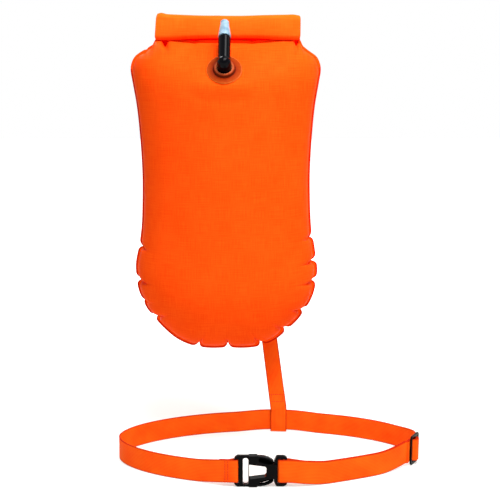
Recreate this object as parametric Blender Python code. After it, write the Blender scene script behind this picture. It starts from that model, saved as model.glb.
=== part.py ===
"""An open water swim buoy: an inflated roll-top bag, its oral valve, a tow leash and a waist belt.

Blender script in metres, +Z up. The belt stands on its edge as an oval ring, the bag is upright above
the back of the ring, and +X is the wearer's right in the picture.
"""

import math

import bmesh
import bpy
from mathutils import Matrix, Vector

MM = 0.001

# Clearances that the fits share
seat_gap = 0.3 * MM
layer_gap = 0.35 * MM
overrun = 3 * MM
join_distance = 0.001 * MM
slope_step = 2 * MM

# Webbing
webbing_thickness = 1.3 * MM
belt_width = 25 * MM
leash_width = 19 * MM
tab_width = 20 * MM
sewn_length = 13 * MM

# Waist ring, measured to the middle of the webbing
ring_half_length = 164.9 * MM
ring_half_depth = 81.5 * MM
ring_exponent = 1.83
ring_front_share = 0.967
lift_ramp = 45 * MM
buckle_shift = -9 * MM
buckle_forward = 6 * MM
forward_ramp_left = 45 * MM
forward_ramp_right = 85 * MM
belt_spacing = 9 * MM

# Belt adjuster
adjuster_angle = math.radians(-14.5)
adjuster_bar = 2.6 * MM
adjuster_pitch = 9.5 * MM
adjuster_thickness = 2 * MM
adjuster_rail = 3.4 * MM
adjuster_run = 16 * MM
adjuster_play = 0.6 * MM
adjuster_edge = 0.4 * MM

# Side release buckle, as shares of the width of the webbing it takes
slot_margin_share = 0.044
spare_margin_share = 0.08
rail_margin_share = 0.172
body_half_share = 0.176
frame_half_share = 0.108
arm_half_share = 0.1
channel_play_share = 0.016
bar_half_share = 0.06
bar_start_share = 0.024
bar_share = 0.088
wrap_inset_share = 0.028
middle_bar_share = 0.176
spare_slot_share = 0.224
slot_corner_share = 0.4
wall_share = 0.04
window_share = 0.704
window_tall_share = 0.316
window_low_share = 0.232
window_corner_share = 0.06
lip_share = 0.248
shoulder_share = 0.328
core_share = 0.768
tongue_share = 1.144
core_half_share = 0.356
pocket_wall_share = 0.056
lip_half_share = 0.512
tongue_half_share = 0.328
male_share = 1.016
pivot_share = 0.408
male_slot_share = 1.168
male_end_share = 0.284
grip_bar_share = 0.096
grip_slot_share = 0.08
buckle_edge_share = 0.028
arm_room_share = 0.088
bow_inset_share = 0.016

# Its outlines, in the same shares from the points that the functions name
frame_corner_shares = ((0, -0.218), (0.05, -0.1), (0.1, -0.04), (0.168, 0))
shoulder_shares = ((0, 0), (0.072, -0.224))
neck_shares = ((0.2, 0.07), (0.296, 0.03))
guard_shares = ((-0.028, -0.1), (0.2, -0.1), (0.46, -0.18), (0.64, -0.27), (0.66, -0.36))
male_start_shares = ((-0.056, -0.032), (0, -0.012))
male_end_shares = ((-0.16, -0.012), (-0.07, -0.04), (0, -0.104))
guide_shares = ((0.064, -0.1), (0.144, 0))
root_shares = ((0.0004, 0.024),)
wall_shares = ((-0.064, -0.04), (0, -0.04))
arm_root_shares = ((0, 0.036), (-0.072, 0.096), (-0.2, 0.172))
arm_bow_shares = ((-0.384, -0.02), (-0.536, 0))
arm_hook_shares = ((0, 0), (0, 0.064), (-0.056, 0.064), (-0.168, -0.02))
arm_nose_shares = ((-0.168, 0),)
arm_heel_shares = ((0.024, 0),)
arm_inner_bow_shares = ((0.104, -0.09),)
arm_middle_shares = ((-0.384, -0.104),)
arm_inner_root_shares = ((-0.216, 0.076), (-0.096, 0), (0, -0.052))

# Bag
bag_bottom = 108.4 * MM
bag_height = 347.9 * MM
bag_half_width = 105.7 * MM
bag_half_thickness = 75 * MM
bag_shift = -46.5 * MM
bag_set_back = 65 * MM
bag_top_radius = 78 * MM
bag_bottom_radius = 86 * MM
panel_wall = 0.8 * MM
weld_width = 3 * MM
pucker_depth = 3.2 * MM
outline_spacing = 13.5 * MM
bulge_steps = 7
crown_angle = math.radians(84)

# Rolled mouth
roll_half_height = 14.5 * MM
roll_half_width = 79 * MM
roll_ply = 1 * MM
roll_half_turns = 6
stiffener_thickness = 1.5 * MM

# Valve
valve_drop = 31 * MM
flange_radius = 18.75 * MM
flange_thickness = 1.2 * MM
neck_radius = 11.2 * MM
neck_height = 4.8 * MM
neck_depth = 4.5 * MM
neck_wall = 2.2 * MM
stem_radius = 7.4 * MM
elbow_height = 12.2 * MM
tube_radius = 6.6 * MM
tube_length = 33.4 * MM
tube_rim = 1.2 * MM
facet_turn = math.radians(6)
nozzle_radius = 5.2 * MM
nozzle_length = 9.6 * MM
valve_bore = 4 * MM
mouthpiece_length = 22.6 * MM
mouthpiece_skirt_radius = 6.9 * MM
mouthpiece_lip_radius = 4.7 * MM
mouthpiece_bore = 2.7 * MM
washer_thickness = 1.2 * MM
pad_rise = 0.5 * MM
pad_depth = 5 * MM
pad_margin = 1 * MM
pad_slope = 6 * MM

# Anchor on the back panel
anchor_drop = 41.3 * MM
patch_half_width = 22 * MM
patch_half_height = 15 * MM
patch_corner = 5 * MM
patch_thickness = 1 * MM
anchor_bar_drop = 14 * MM
anchor_ring_height = 14 * MM
anchor_ring_margin = 4 * MM
anchor_ring_corner = 3.6 * MM
anchor_wire = 3 * MM

# Tow leash, measured from the middle of the ring
leash_loop_x = 14.5 * MM
leash_sewn_top = 17 * MM
leash_bag_gap = 0.9 * MM
loop_gap = 0.8 * MM
leash_touch_share = 0.15
leash_lead = 56 * MM
leash_steps = 12
leash_ease_share = 1.4

# Half outline of the bag: (share of the height, share of the half width), from the neck to the bottom
outline_shares = (
    (1.0, 0.747), (0.989, 0.822), (0.964, 0.935), (0.939, 0.985), (0.913, 1.0), (0.876, 0.982),
    (0.80, 0.942), (0.71, 0.915), (0.61, 0.898), (0.53, 0.897), (0.42, 0.912), (0.34, 0.947),
    (0.28, 0.978), (0.22, 0.968), (0.165, 0.915), (0.115, 0.82), (0.07, 0.69), (0.03, 0.535),
    (0.006, 0.36), (0.0, 0.2), (0.0, 0.0),
)
# Puckers of the weld: degrees from straight down, positive towards +X, about the bottom centre
pucker_angles = (-109.4, -87.6, -73, -57, -22, 1, 26.6, 45.6, 63.6, 87, 102, 115)


def clear_scene():
    for obj in list(bpy.data.objects):
        bpy.data.objects.remove(obj, do_unlink=True)


def finish(name, colour, roughness, metallic=0.0, alpha=1.0):
    """A plain material; colour is in linear values."""
    made = bpy.data.materials.new(name)
    made.use_nodes = True
    shader = made.node_tree.nodes["Principled BSDF"]
    shader.inputs["Base Color"].default_value = (*colour, 1.0)
    shader.inputs["Roughness"].default_value = roughness
    shader.inputs["Metallic"].default_value = metallic
    shader.inputs["Alpha"].default_value = alpha
    return made


def place(mesh, name, finish_used, frame=None, smooth_angle=30):
    """Turns a bmesh into a named object on the buoy, in the frame given."""
    bmesh.ops.recalc_face_normals(mesh, faces=mesh.faces)
    data = bpy.data.meshes.new(name)
    mesh.to_mesh(data)
    mesh.free()
    data.materials.append(finish_used)
    data.shade_smooth()
    data.set_sharp_from_angle(angle=math.radians(smooth_angle))
    obj = bpy.data.objects.new(name, data)
    bpy.context.scene.collection.objects.link(obj)
    obj.parent = buoy
    obj.matrix_parent_inverse = Matrix()
    obj.matrix_local = frame or Matrix()
    return obj


def as_cutter(obj):
    obj.hide_render = True
    obj.display_type = "WIRE"
    return obj


def combine(obj, others, operation):
    """Booleans the others into obj, one modifier each."""
    for other in others:
        step = obj.modifiers.new(other.name, "BOOLEAN")
        step.operation = operation
        step.solver = "EXACT"
        step.object = as_cutter(other)
    return obj


def round_edges(obj, width, segments=2):
    edges = obj.modifiers.new("rounded edges", "BEVEL")
    edges.width = width
    edges.segments = segments
    edges.limit_method = "ANGLE"
    edges.angle_limit = math.radians(40)
    return obj


def ribbon(name, centres, side, width, thickness, finish_used, frame=None):
    """A flat band swept along its middle line. side is the direction of its width, or a list of them."""
    centres = [Vector(c) for c in centres]
    sides = side if isinstance(side, list) else [Vector(side)] * len(centres)
    mesh = bmesh.new()
    rows = []
    last = len(centres) - 1
    for i, centre in enumerate(centres):
        before = (centre - centres[i - 1]).normalized() if i else None
        after = (centres[i + 1] - centre).normalized() if i < last else None
        along = ((before or after) + (after or before)).normalized()
        across = (sides[i] - along * along.dot(sides[i])).normalized()
        out = along.cross(across)
        turn = (before or after).dot(along)
        half = out * (thickness / 2 / max(turn, 0.5))
        edge = across * (width / 2)
        rows.append([mesh.verts.new(centre + a * half + b * edge) for a, b in ((1, 1), (1, -1), (-1, -1), (-1, 1))])
    for first, second in zip(rows, rows[1:]):
        for k in range(4):
            mesh.faces.new((first[k], first[k - 1], second[k - 1], second[k]))
    mesh.faces.new(rows[0])
    mesh.faces.new(reversed(rows[-1]))
    return place(mesh, name, finish_used, frame, 50)


def plate(name, outline, low, high, finish_used, frame=None):
    """An outline in (x, z), extruded along y from low to high."""
    mesh = bmesh.new()
    face = mesh.faces.new([mesh.verts.new((x, low, z)) for x, z in outline])
    made = bmesh.ops.extrude_face_region(mesh, geom=[face])["geom"]
    moved = [v for v in made if isinstance(v, bmesh.types.BMVert)]
    bmesh.ops.translate(mesh, verts=moved, vec=(0, high - low, 0))
    return place(mesh, name, finish_used, frame)


def turned(name, profile, finish_used, frame=None, steps=24):
    """A closed profile of (radius, height), spun round the local Z axis."""
    mesh = bmesh.new()
    points = [mesh.verts.new((radius, 0, height)) for radius, height in profile]
    edges = [mesh.edges.new((points[i - 1], points[i])) for i in range(len(points))]
    bmesh.ops.spin(mesh, geom=points + edges, cent=(0, 0, 0), axis=(0, 0, 1), angle=2 * math.pi, steps=steps)
    bmesh.ops.remove_doubles(mesh, verts=mesh.verts, dist=join_distance)
    return place(mesh, name, finish_used, frame)


def box_outline(left, right, low, high):
    return ((left, low), (right, low), (right, high), (left, high))


def arc(centre, radius, start, end, steps):
    """Points of an arc in a plane, angles in degrees."""
    angles = [math.radians(start + (end - start) * i / steps) for i in range(steps + 1)]
    return [(centre[0] + radius * math.cos(a), centre[1] + radius * math.sin(a)) for a in angles]


def rounded_outline(left, right, low, high, radius, steps=4):
    corners = (((right - radius, high - radius), 0), ((left + radius, high - radius), 90),
               ((left + radius, low + radius), 180), ((right - radius, low + radius), 270))
    return [point for centre, start in corners for point in arc(centre, radius, start, start + 90, steps)]


def smooth_step(value):
    value = min(max(value, 0.0), 1.0)
    return value * value * (3 - 2 * value)


def smooth_line(points, steps):
    """Catmull-Rom points through a list of points, with steps to each stretch."""
    points = [Vector(p) for p in points]
    padded = [2 * points[0] - points[1]] + points + [2 * points[-1] - points[-2]]
    line = []
    for a, b, c, d in zip(padded, padded[1:], padded[2:], padded[3:]):
        for i in range(steps):
            t = i / steps
            line.append(0.5 * (2 * b + (c - a) * t + (2 * a - 5 * b + 4 * c - d) * t**2 + (3 * b - a - 3 * c + d) * t**3))
    return line + [points[-1]]


def resampled(line, spacing):
    """The same line with points about this far apart."""
    lengths = [0.0]
    for a, b in zip(line, line[1:]):
        lengths.append(lengths[-1] + (b - a).length)
    count = max(2, round(lengths[-1] / spacing))
    made, k = [], 0
    for i in range(count + 1):
        want = lengths[-1] * i / count
        while k < len(line) - 2 and lengths[k + 1] < want:
            k += 1
        share = (want - lengths[k]) / max(lengths[k + 1] - lengths[k], 1e-9)
        made.append(line[k].lerp(line[k + 1], share))
    return made


class BuckleSizes:
    """Sizes of a side release buckle, from the webbing it takes.

    x runs from the female half's end towards the male half, z across the webbing, y through the buckle.
    """

    def __init__(self, width, spare_slot):
        self.width = width
        self.slot_half = width / 2 + width * slot_margin_share
        self.spare_half = width / 2 + width * spare_margin_share
        self.half_height = width / 2 + width * rail_margin_share
        self.body_half = width * body_half_share
        self.frame_half = width * frame_half_share
        self.arm_half = width * arm_half_share
        self.channel_half = self.arm_half + width * channel_play_share
        self.bar_half = width * bar_half_share
        self.wrap_radius = self.bar_half + layer_gap + webbing_thickness / 2
        self.bar_start = width * bar_start_share
        self.bar_end = self.bar_start + width * bar_share
        self.wrap_inset = width * wrap_inset_share
        self.wrap_centre = self.bar_end - self.wrap_inset
        self.slot_end = self.wrap_centre + self.wrap_radius + webbing_thickness / 2 + layer_gap
        self.middle_bar_end = self.slot_end + width * middle_bar_share
        self.spare_end = self.middle_bar_end + width * spare_slot_share
        self.spare_slot = spare_slot
        wall = width * wall_share
        body = self.spare_end + wall if spare_slot else self.slot_end + 2 * wall
        self.body = body
        self.window_end = body + width * window_share
        self.window_tall = width * window_tall_share
        self.window_low = width * window_low_share
        self.window_corner = width * window_corner_share
        self.pocket = body + wall
        self.frame_end = body + 2 * wall
        self.lip = body + width * lip_share
        self.shoulder = body + width * shoulder_share
        self.core_end = body + width * core_share
        self.tongue_end = body + width * tongue_share
        self.core_half = width * core_half_share
        self.pocket_half = self.half_height - width * pocket_wall_share
        self.lip_half = width * lip_half_share
        self.tongue_half = width * tongue_half_share
        self.pivot_x = body + width * male_share
        self.pivot_z = width * pivot_share
        self.male = self.pivot_x
        self.male_slot = body + width * male_slot_share
        self.male_wrap = self.male_slot + layer_gap + webbing_thickness / 2 + self.wrap_radius
        self.male_bar = self.male_wrap - self.wrap_inset
        self.male_end = self.male_bar + width * male_end_share
        self.edge = width * buckle_edge_share

    def spots(self, x, z, shares):
        """Points given as shares of the webbing's width from (x, z)."""
        return [(x + a * self.width, z + b * self.width) for a, b in shares]


def mirrored(outline):
    """Closes a half outline, given from left to right above the middle, with its image below."""
    return list(outline) + [(x, -z) for x, z in reversed(outline)]


def female_body(name, s, frame, finish_used):
    """The socket's solid: a frame for the webbing, a thicker body with a tongue, and the arms' back guard."""
    outline = s.spots(0, s.half_height, frame_corner_shares)
    outline.append((s.frame_end, s.half_height))
    obj = plate(name, mirrored(outline), -s.frame_half, s.frame_half, finish_used, frame)
    round_edges(obj, s.edge)
    outline = [(s.body - s.edge, s.half_height)] + s.spots(s.shoulder, s.half_height, shoulder_shares)
    outline += s.spots(s.shoulder, s.tongue_half, neck_shares)
    outline += [(s.core_end, s.tongue_half), (s.tongue_end, s.tongue_half)]
    body = plate(name + "_body", mirrored(outline), -s.body_half, s.body_half, finish_used, frame)
    guard_outline = mirrored(s.spots(s.shoulder, s.half_height, guard_shares))
    guard = plate(name + "_guard", guard_outline, s.channel_half, s.body_half - s.edge / 2, finish_used, frame)
    return combine(obj, [round_edges(body, s.edge), guard], "UNION")


def window_outline(s):
    low = s.window_low
    corner = s.window_corner
    half = ((s.body, s.window_tall), (s.window_end - corner, low), (s.window_end, low - corner))
    return mirrored(half)


def make_female_half(name, s, frame, finish_used):
    """The socket: two slots for webbing, a windowed body, side pockets with lips, and a split tongue."""
    obj = female_body(name, s, frame, finish_used)
    slot_radius = slot_corner_share * (s.slot_end - s.bar_end)
    cuts = [rounded_outline(s.bar_end, s.slot_end, -s.slot_half, s.slot_half, slot_radius)]
    if s.spare_slot:
        spare_radius = slot_corner_share * (s.spare_end - s.middle_bar_end)
        cuts.append(rounded_outline(s.middle_bar_end, s.spare_end, -s.spare_half, s.spare_half, spare_radius))
    cuts.append(window_outline(s))
    through = s.body_half + overrun
    cutters = [plate(f"{name}_cut_{i}", cut, -through, through, finish_used, frame) for i, cut in enumerate(cuts)]
    relief = box_outline(-overrun, s.slot_end, -s.slot_half, s.slot_half)
    cutters.append(plate(name + "_relief_front", relief, -through, -s.bar_half, finish_used, frame))
    cutters.append(plate(name + "_relief_back", relief, s.bar_half, through, finish_used, frame))
    end_relief = box_outline(-overrun, s.bar_start, -s.slot_half, s.slot_half)
    cutters.append(plate(name + "_relief_end", end_relief, -through, through, finish_used, frame))
    beyond = s.half_height + overrun
    mouth = box_outline(s.core_end, s.tongue_end + overrun, -beyond, beyond)
    cutters.append(plate(name + "_mouth", mouth, -s.channel_half, s.channel_half, finish_used, frame))
    far = s.core_end + s.wrap_inset
    for side, word in ((1, "upper"), (-1, "lower")):
        outline = ((s.pocket, s.core_half), (s.pocket, s.pocket_half), (s.lip, s.pocket_half), (s.lip, s.lip_half),
                   (s.shoulder, s.lip_half), (s.shoulder, beyond), (far, beyond), (far, s.core_half))
        outline = [(x, side * z) for x, z in outline]
        cutters.append(plate(f"{name}_pocket_{word}", outline, -s.channel_half, s.channel_half, finish_used, frame))
    return combine(obj, cutters, "DIFFERENCE")


def make_male_half(name, s, frame, finish_used):
    """The plug without its arms: a guide, a cross wall and the bars that the webbing goes round."""
    start = s.spots(s.male_slot, s.half_height, male_start_shares)
    end = s.spots(s.male_end, s.half_height, male_end_shares)
    obj = plate(name, mirrored(start + end), -s.frame_half, s.frame_half, finish_used, frame)
    round_edges(obj, s.edge)
    guide = s.tongue_half - s.edge
    outline = s.spots(s.core_end, guide, guide_shares) + [(s.male, guide)]
    outline += s.spots(s.male, s.pivot_z, root_shares) + s.spots(s.male_slot, s.half_height, wall_shares)
    neck = plate(name + "_neck", mirrored(outline), -s.arm_half, s.arm_half, finish_used, frame)
    combine(obj, [neck], "UNION")
    through = s.body_half + overrun
    slot_radius = slot_corner_share * (s.male_bar - s.male_slot)
    slot = rounded_outline(s.male_slot, s.male_bar, -s.slot_half, s.slot_half, slot_radius)
    grip_low = s.male_bar + s.width * grip_bar_share
    grip_high = grip_low + s.width * grip_slot_share
    grip = rounded_outline(grip_low, grip_high, -s.slot_half, s.slot_half, slot_corner_share * (grip_high - grip_low))
    cutters = [plate(f"{name}_cut_{i}", cut, -through, through, finish_used, frame) for i, cut in enumerate((slot, grip))]
    relief = box_outline(s.male_slot, s.male_end + overrun, -s.slot_half, s.slot_half)
    cutters.append(plate(name + "_relief_front", relief, -through, -s.bar_half, finish_used, frame))
    cutters.append(plate(name + "_relief_back", relief, s.bar_half, through, finish_used, frame))
    tongue_room = box_outline(s.male - overrun, s.tongue_end + seat_gap, -s.core_half, s.core_half)
    cutters.append(plate(name + "_tongue_front", tongue_room, -through, -s.arm_half, finish_used, frame))
    cutters.append(plate(name + "_tongue_back", tongue_room, s.arm_half, through, finish_used, frame))
    return combine(obj, cutters, "DIFFERENCE")


def make_arm(name, s, side, frame, finish_used):
    """A springing arm: a bowed strip from the male half to a hook behind the socket's lip."""
    root = s.male - seat_gap
    shoulder = s.shoulder + seat_gap
    hook = s.lip - seat_gap
    neck_top = s.lip_half - seat_gap
    neck_low = s.core_half + s.width * arm_room_share
    bow_top = s.half_height - s.width * bow_inset_share
    outline = s.spots(root, s.pivot_z, arm_root_shares) + s.spots(root, bow_top, arm_bow_shares)
    outline += [(shoulder, bow_top), (shoulder, neck_top)] + s.spots(hook, neck_top, arm_hook_shares)
    outline += s.spots(hook, neck_low, arm_nose_shares) + s.spots(shoulder, neck_low, arm_heel_shares)
    outline += s.spots(shoulder, bow_top, arm_inner_bow_shares) + s.spots(root, bow_top, arm_middle_shares)
    outline += s.spots(root, s.pivot_z, arm_inner_root_shares)
    outline = [(x, side * z) for x, z in outline]
    obj = plate(name, outline, -s.arm_half, s.arm_half, finish_used, frame)
    return round_edges(obj, s.edge / 2, 1)


def make_buckle(prefix, s, frame, finish_used):
    make_female_half(prefix + "_female_half", s, frame, finish_used)
    make_male_half(prefix + "_male_half", s, frame, finish_used)
    make_arm(prefix + "_arm_upper", s, 1, frame, finish_used)
    make_arm(prefix + "_arm_lower", s, -1, frame, finish_used)


def ring_point(angle):
    """The middle of the belt webbing in plan, with the flat front that the buckle gives it."""
    power = 2 / ring_exponent
    x = ring_half_length * math.copysign(abs(math.cos(angle)) ** power, math.cos(angle))
    y = ring_half_depth * math.copysign(abs(math.sin(angle)) ** power, math.sin(angle))
    if y < 0:
        away = x - buckle_shift
        ramp = forward_ramp_right if away > 0 else forward_ramp_left
        y -= buckle_forward * smooth_step(1 - (abs(away) - belt_buckle.male_end / 2) / ramp)
    return Vector((x, max(y, -ring_front), 0))


def offset_line(line, distance):
    """The plan line moved sideways: positive to the left of its direction."""
    made = []
    for i, point in enumerate(line):
        along = (line[min(i + 1, len(line) - 1)] - line[max(i - 1, 0)]).normalized()
        made.append(point + Vector((-along.y, along.x, 0)) * distance)
    return made


def belt_lift(point):
    """How far the belt's lower edge is off the ground, which the taller fittings and the leash loop raise."""
    spots = (
        (Vector((buckle_shift, -ring_front, 0)), belt_buckle.male_end / 2, belt_buckle.half_height - belt_width / 2),
        (adjuster_place, adjuster_pitch, adjuster_half - belt_width / 2),
        (ring_back, leash_width / 2 + layer_gap, webbing_thickness + loop_gap),
    )
    lifts = []
    for place_of, half, lift in spots:
        away = (Vector((point.x, point.y, 0)) - place_of).length - half
        lifts.append(lift * smooth_step(1 - away / lift_ramp))
    return max(lifts)


def make_belt(finish_used):
    """One long strap: sewn round the female bar, round the waist, through the adjuster and the male bar."""
    s = belt_buckle
    layer = webbing_thickness + layer_gap
    left = buckle_left
    front = -ring_front
    line = [Vector((left - s.bar_start - sewn_length, front + layer, 0)),
            Vector((left - s.wrap_radius * 2.4, front + layer, 0)), Vector((left, front + 2 * s.wrap_radius, 0))]
    wrap = (left + s.wrap_centre, front + s.wrap_radius)
    line += [Vector((x, y, 0)) for x, y in arc(wrap, s.wrap_radius, 90, -90, 8)]
    start = math.atan2(-1, (left - webbing_thickness) / ring_half_length) + 2 * math.pi
    dense = [ring_point(start - (start + math.pi / 2) * i / 720) for i in range(721)]
    dense = [p for p in dense if p.y > front + layer_gap / 2 or p.x < left]
    body = [p for p in dense if not (p.y < 0 and buckle_left <= p.x <= buckle_right)]
    nearest = min(range(len(body)), key=lambda i: (body[i] - ring_point(adjuster_angle)).length)
    before, after = nearest, nearest
    while (body[before] - body[nearest]).length < adjuster_run:
        before -= 1
    while (body[after] - body[nearest]).length < adjuster_run:
        after += 1
    line += resampled(body[:before], belt_spacing)
    line += [adjuster_frame @ Vector((x, out, 0)) for x, out in main_strand_through_adjuster()]
    tail = resampled(body[after:], belt_spacing)
    line += tail
    wrap = (left + s.male_wrap, front + s.wrap_radius)
    line += [Vector((x, y, 0)) for x, y in arc(wrap, s.wrap_radius, 270, 90, 8)]
    back = offset_line(tail, -layer)
    line.append(Vector((buckle_right + s.wrap_radius * 0.4, front + s.wrap_radius * 2, 0)))
    line += [p for p in reversed(back) if p.x > buckle_right + 4 * s.wrap_radius]
    line += [adjuster_frame @ Vector((x, out, 0)) for x, out in sewn_strand_at_adjuster()]
    raised = [Vector((p.x, p.y, belt_lift(p) + belt_width / 2)) for p in line]
    return ribbon("belt_webbing", raised, (0, 0, 1), belt_width, webbing_thickness, finish_used)


def main_strand_through_adjuster():
    """(along, outward) points of the belt as it goes under, over and under the adjuster's bars."""
    half_bar = adjuster_bar / 2
    edge = adjuster_pitch - half_bar
    over = 2 * adjuster_plane + webbing_thickness + layer_gap
    return (
        (-adjuster_run + webbing_thickness, 0), (-edge + layer_gap, 0), (-edge + 2.4 * layer_gap, 0.1 * over),
        (-2 * half_bar, 0.95 * over), (-1.4 * half_bar, over), (1.9 * half_bar, over), (2.6 * half_bar, 0.92 * over),
        (edge - 3.7 * layer_gap, 0.09 * over), (edge - layer_gap, 0), (adjuster_run - webbing_thickness, 0),
    )


def sewn_strand_at_adjuster():
    """(along, outward) points of the strap's end as it hooks round the adjuster's middle bar."""
    half_bar = adjuster_bar / 2
    layer = webbing_thickness + layer_gap
    hook = (half_bar - layer_gap, adjuster_plane)
    points = [(adjuster_run - webbing_thickness, -layer), (adjuster_pitch - half_bar, -layer),
              (adjuster_pitch - 2.5 * half_bar, -0.9 * layer), (2.3 * half_bar, -0.1 * layer)]
    return [(x, z) for x, z in points] + [(-x, z) for x, z in arc(hook, adjuster_plane, -90, 90, 6)] + [
        (half_bar * 0.8, 2 * adjuster_plane)]


def make_adjuster(finish_used):
    """A three-bar slide: two rails and three bars, moulded in one."""
    half_length = adjuster_pitch + adjuster_bar / 2
    middle = Vector((0, adjuster_plane, belt_width / 2 + belt_lift(adjuster_place)))
    frame = adjuster_frame @ Matrix.Translation(middle)
    outline = rounded_outline(-half_length, half_length, -adjuster_half, adjuster_half, adjuster_rail)
    half = adjuster_thickness / 2
    obj = round_edges(plate("belt_adjuster", outline, -half, half, finish_used, frame), adjuster_edge)
    slot_half = adjuster_half - adjuster_rail
    cutters = []
    for word, low in (("front", -adjuster_pitch), ("back", 0)):
        cut = box_outline(low + adjuster_bar / 2, low + adjuster_pitch - adjuster_bar / 2, -slot_half, slot_half)
        cutters.append(plate(f"belt_adjuster_slot_{word}", cut, -overrun, overrun, finish_used, frame))
    return combine(obj, cutters, "DIFFERENCE")


def half_outline():
    """The right half of the bag's edge in (x, z), from the neck down to the middle of the bottom."""
    points = [Vector((w * bag_half_width, 0, bag_bottom + h * bag_height)) for h, w in outline_shares]
    return smooth_line(points, 6)


def bag_outline():
    """The whole edge, drawn in at each pucker, as a closed list of points with puckers on points."""
    right = half_outline()
    left = [Vector((-p.x, 0, p.z)) for p in reversed(right)]
    whole = right + left[1:]
    hub = Vector((0, 0, bag_bottom + bag_bottom_radius))
    marks = []
    for degrees in sorted(pucker_angles, reverse=True):
        aim = Vector((math.sin(math.radians(degrees)), 0, -math.cos(math.radians(degrees))))
        marks.append(max(range(len(whole)), key=lambda i: (whole[i] - hub).normalized().dot(aim)))
    line = []
    for first, second in zip([0] + marks, marks + [len(whole) - 1]):
        stretch = resampled(whole[first:second + 1], outline_spacing)
        if line:
            stretch = stretch[1:]
        line += stretch
        if second in marks:
            inward = (hub - line[-1]).normalized()
            line[-1] = line[-1] + inward * pucker_depth
    top = resampled([line[-1], line[0]], 2 * outline_spacing)
    return line + top[1:-1]


def medial_foot(point):
    """The nearest point of the bag's upright middle line."""
    low = bag_bottom + bag_bottom_radius
    high = bag_bottom + bag_height - bag_top_radius
    return Vector((0, 0, min(max(point.z, low), high)))


def panel_rise(angle):
    """The outer face's distance from the seam plane: nothing but the weld at angle 0, full at the crown."""
    flat = seat_gap / 2 + panel_wall
    return flat + (bag_half_thickness - flat) * min(math.sin(angle) / math.sin(crown_angle), 1.0)


def bulge(x, z):
    """How far the bag's outer face stands from the seam plane at (x, z), both measured from the bag's middle."""
    point = Vector((x, 0, z))
    foot = medial_foot(point)
    span = point - foot
    if span.length < seat_gap:
        return bag_half_thickness
    aim = span.normalized()
    reach = None
    edge = bag_edge
    for a, b in zip(edge, edge[1:] + edge[:1]):
        side_a = aim.x * (a.z - foot.z) - aim.z * (a.x - foot.x)
        side_b = aim.x * (b.z - foot.z) - aim.z * (b.x - foot.x)
        if side_a * side_b <= 0 and side_a != side_b:
            hit = a.lerp(b, side_a / (side_a - side_b))
            along = (hit - foot).dot(aim)
            if along > 0:
                reach = along
    share = min(span.length / (reach - weld_width), 1.0)
    return panel_rise(math.acos(share))


def face_frame(x, z, side):
    """A frame on the bag's face: X across, Z out of the face and Y up it in front, down it at the back."""
    slope = (bulge(x, z + slope_step) - bulge(x, z - slope_step)) / (2 * slope_step)
    out = Vector((0, side, -slope)).normalized()
    across = Vector((1, 0, 0))
    up = out.cross(across)
    origin = Vector((bag_shift + x, bag_set_back + side * bulge(x, z), z)) + out * pad_rise
    return Matrix.Translation(origin) @ Matrix((across, up, out)).transposed().to_4x4()


def make_panel(name, side, pad_outline, pad_frame, finish_used):
    """One welded panel: a flat weld edge, the inflated dome, and a raised pad where a fitting is welded."""
    mesh = bmesh.new()
    rows = []
    flat = seat_gap / 2 + panel_wall
    for step in range(-1, bulge_steps + 1):
        row = []
        for point in bag_edge:
            foot = medial_foot(point)
            span = point - foot
            inner = foot + span * (1 - weld_width / span.length)
            if step < 0:
                spot, out = point, flat
            else:
                angle = crown_angle * step / bulge_steps
                spot = foot + (inner - foot) * math.cos(angle)
                out = panel_rise(angle)
            row.append(mesh.verts.new((bag_shift + spot.x, bag_set_back + side * out, spot.z)))
        rows.append(row)
    for first, second in zip(rows, rows[1:]):
        for i in range(len(first)):
            mesh.faces.new((first[i - 1], first[i], second[i], second[i - 1]))
    mesh.faces.new(rows[-1])
    bmesh.ops.recalc_face_normals(mesh, faces=mesh.faces)
    middle = sum((f.normal.y * f.calc_area() for f in mesh.faces), 0.0)
    if middle * side < 0:
        bmesh.ops.reverse_faces(mesh, faces=mesh.faces)
    data = bpy.data.meshes.new(name)
    mesh.to_mesh(data)
    mesh.free()
    data.materials.append(finish_used)
    data.shade_smooth()
    obj = bpy.data.objects.new(name, data)
    bpy.context.scene.collection.objects.link(obj)
    obj.parent = buoy
    wall = obj.modifiers.new("wall", "SOLIDIFY")
    wall.thickness = panel_wall
    wall.offset = -1
    pad = bmesh.new()
    low = [pad.verts.new((x * (1 + pad_slope / flange_radius), y * (1 + pad_slope / flange_radius), -pad_depth))
           for x, y in pad_outline]
    high = [pad.verts.new((x, y, 0)) for x, y in pad_outline]
    for i in range(len(low)):
        pad.faces.new((low[i - 1], low[i], high[i], high[i - 1]))
    pad.faces.new(low)
    pad.faces.new(high)
    pad = place(pad, name + "_pad", finish_used, pad_frame)
    return combine(obj, [pad], "UNION")


def make_bag(finish_used):
    circle = arc((0, 0), flange_radius + pad_margin, 0, 345, 23)
    front = make_panel("front_panel", -1, circle, valve_frame, finish_used)
    hole = neck_radius - neck_wall + seat_gap
    depth = pad_depth * 2
    bore = turned("valve_hole", ((0, depth), (hole, depth), (hole, -depth), (0, -depth)), finish_used, valve_frame)
    combine(front, [bore], "DIFFERENCE")
    patch = rounded_outline(-patch_half_width, patch_half_width, -patch_half_height, patch_half_height, patch_corner, 2)
    make_panel("back_panel", 1, patch, anchor_frame, finish_used)


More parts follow.
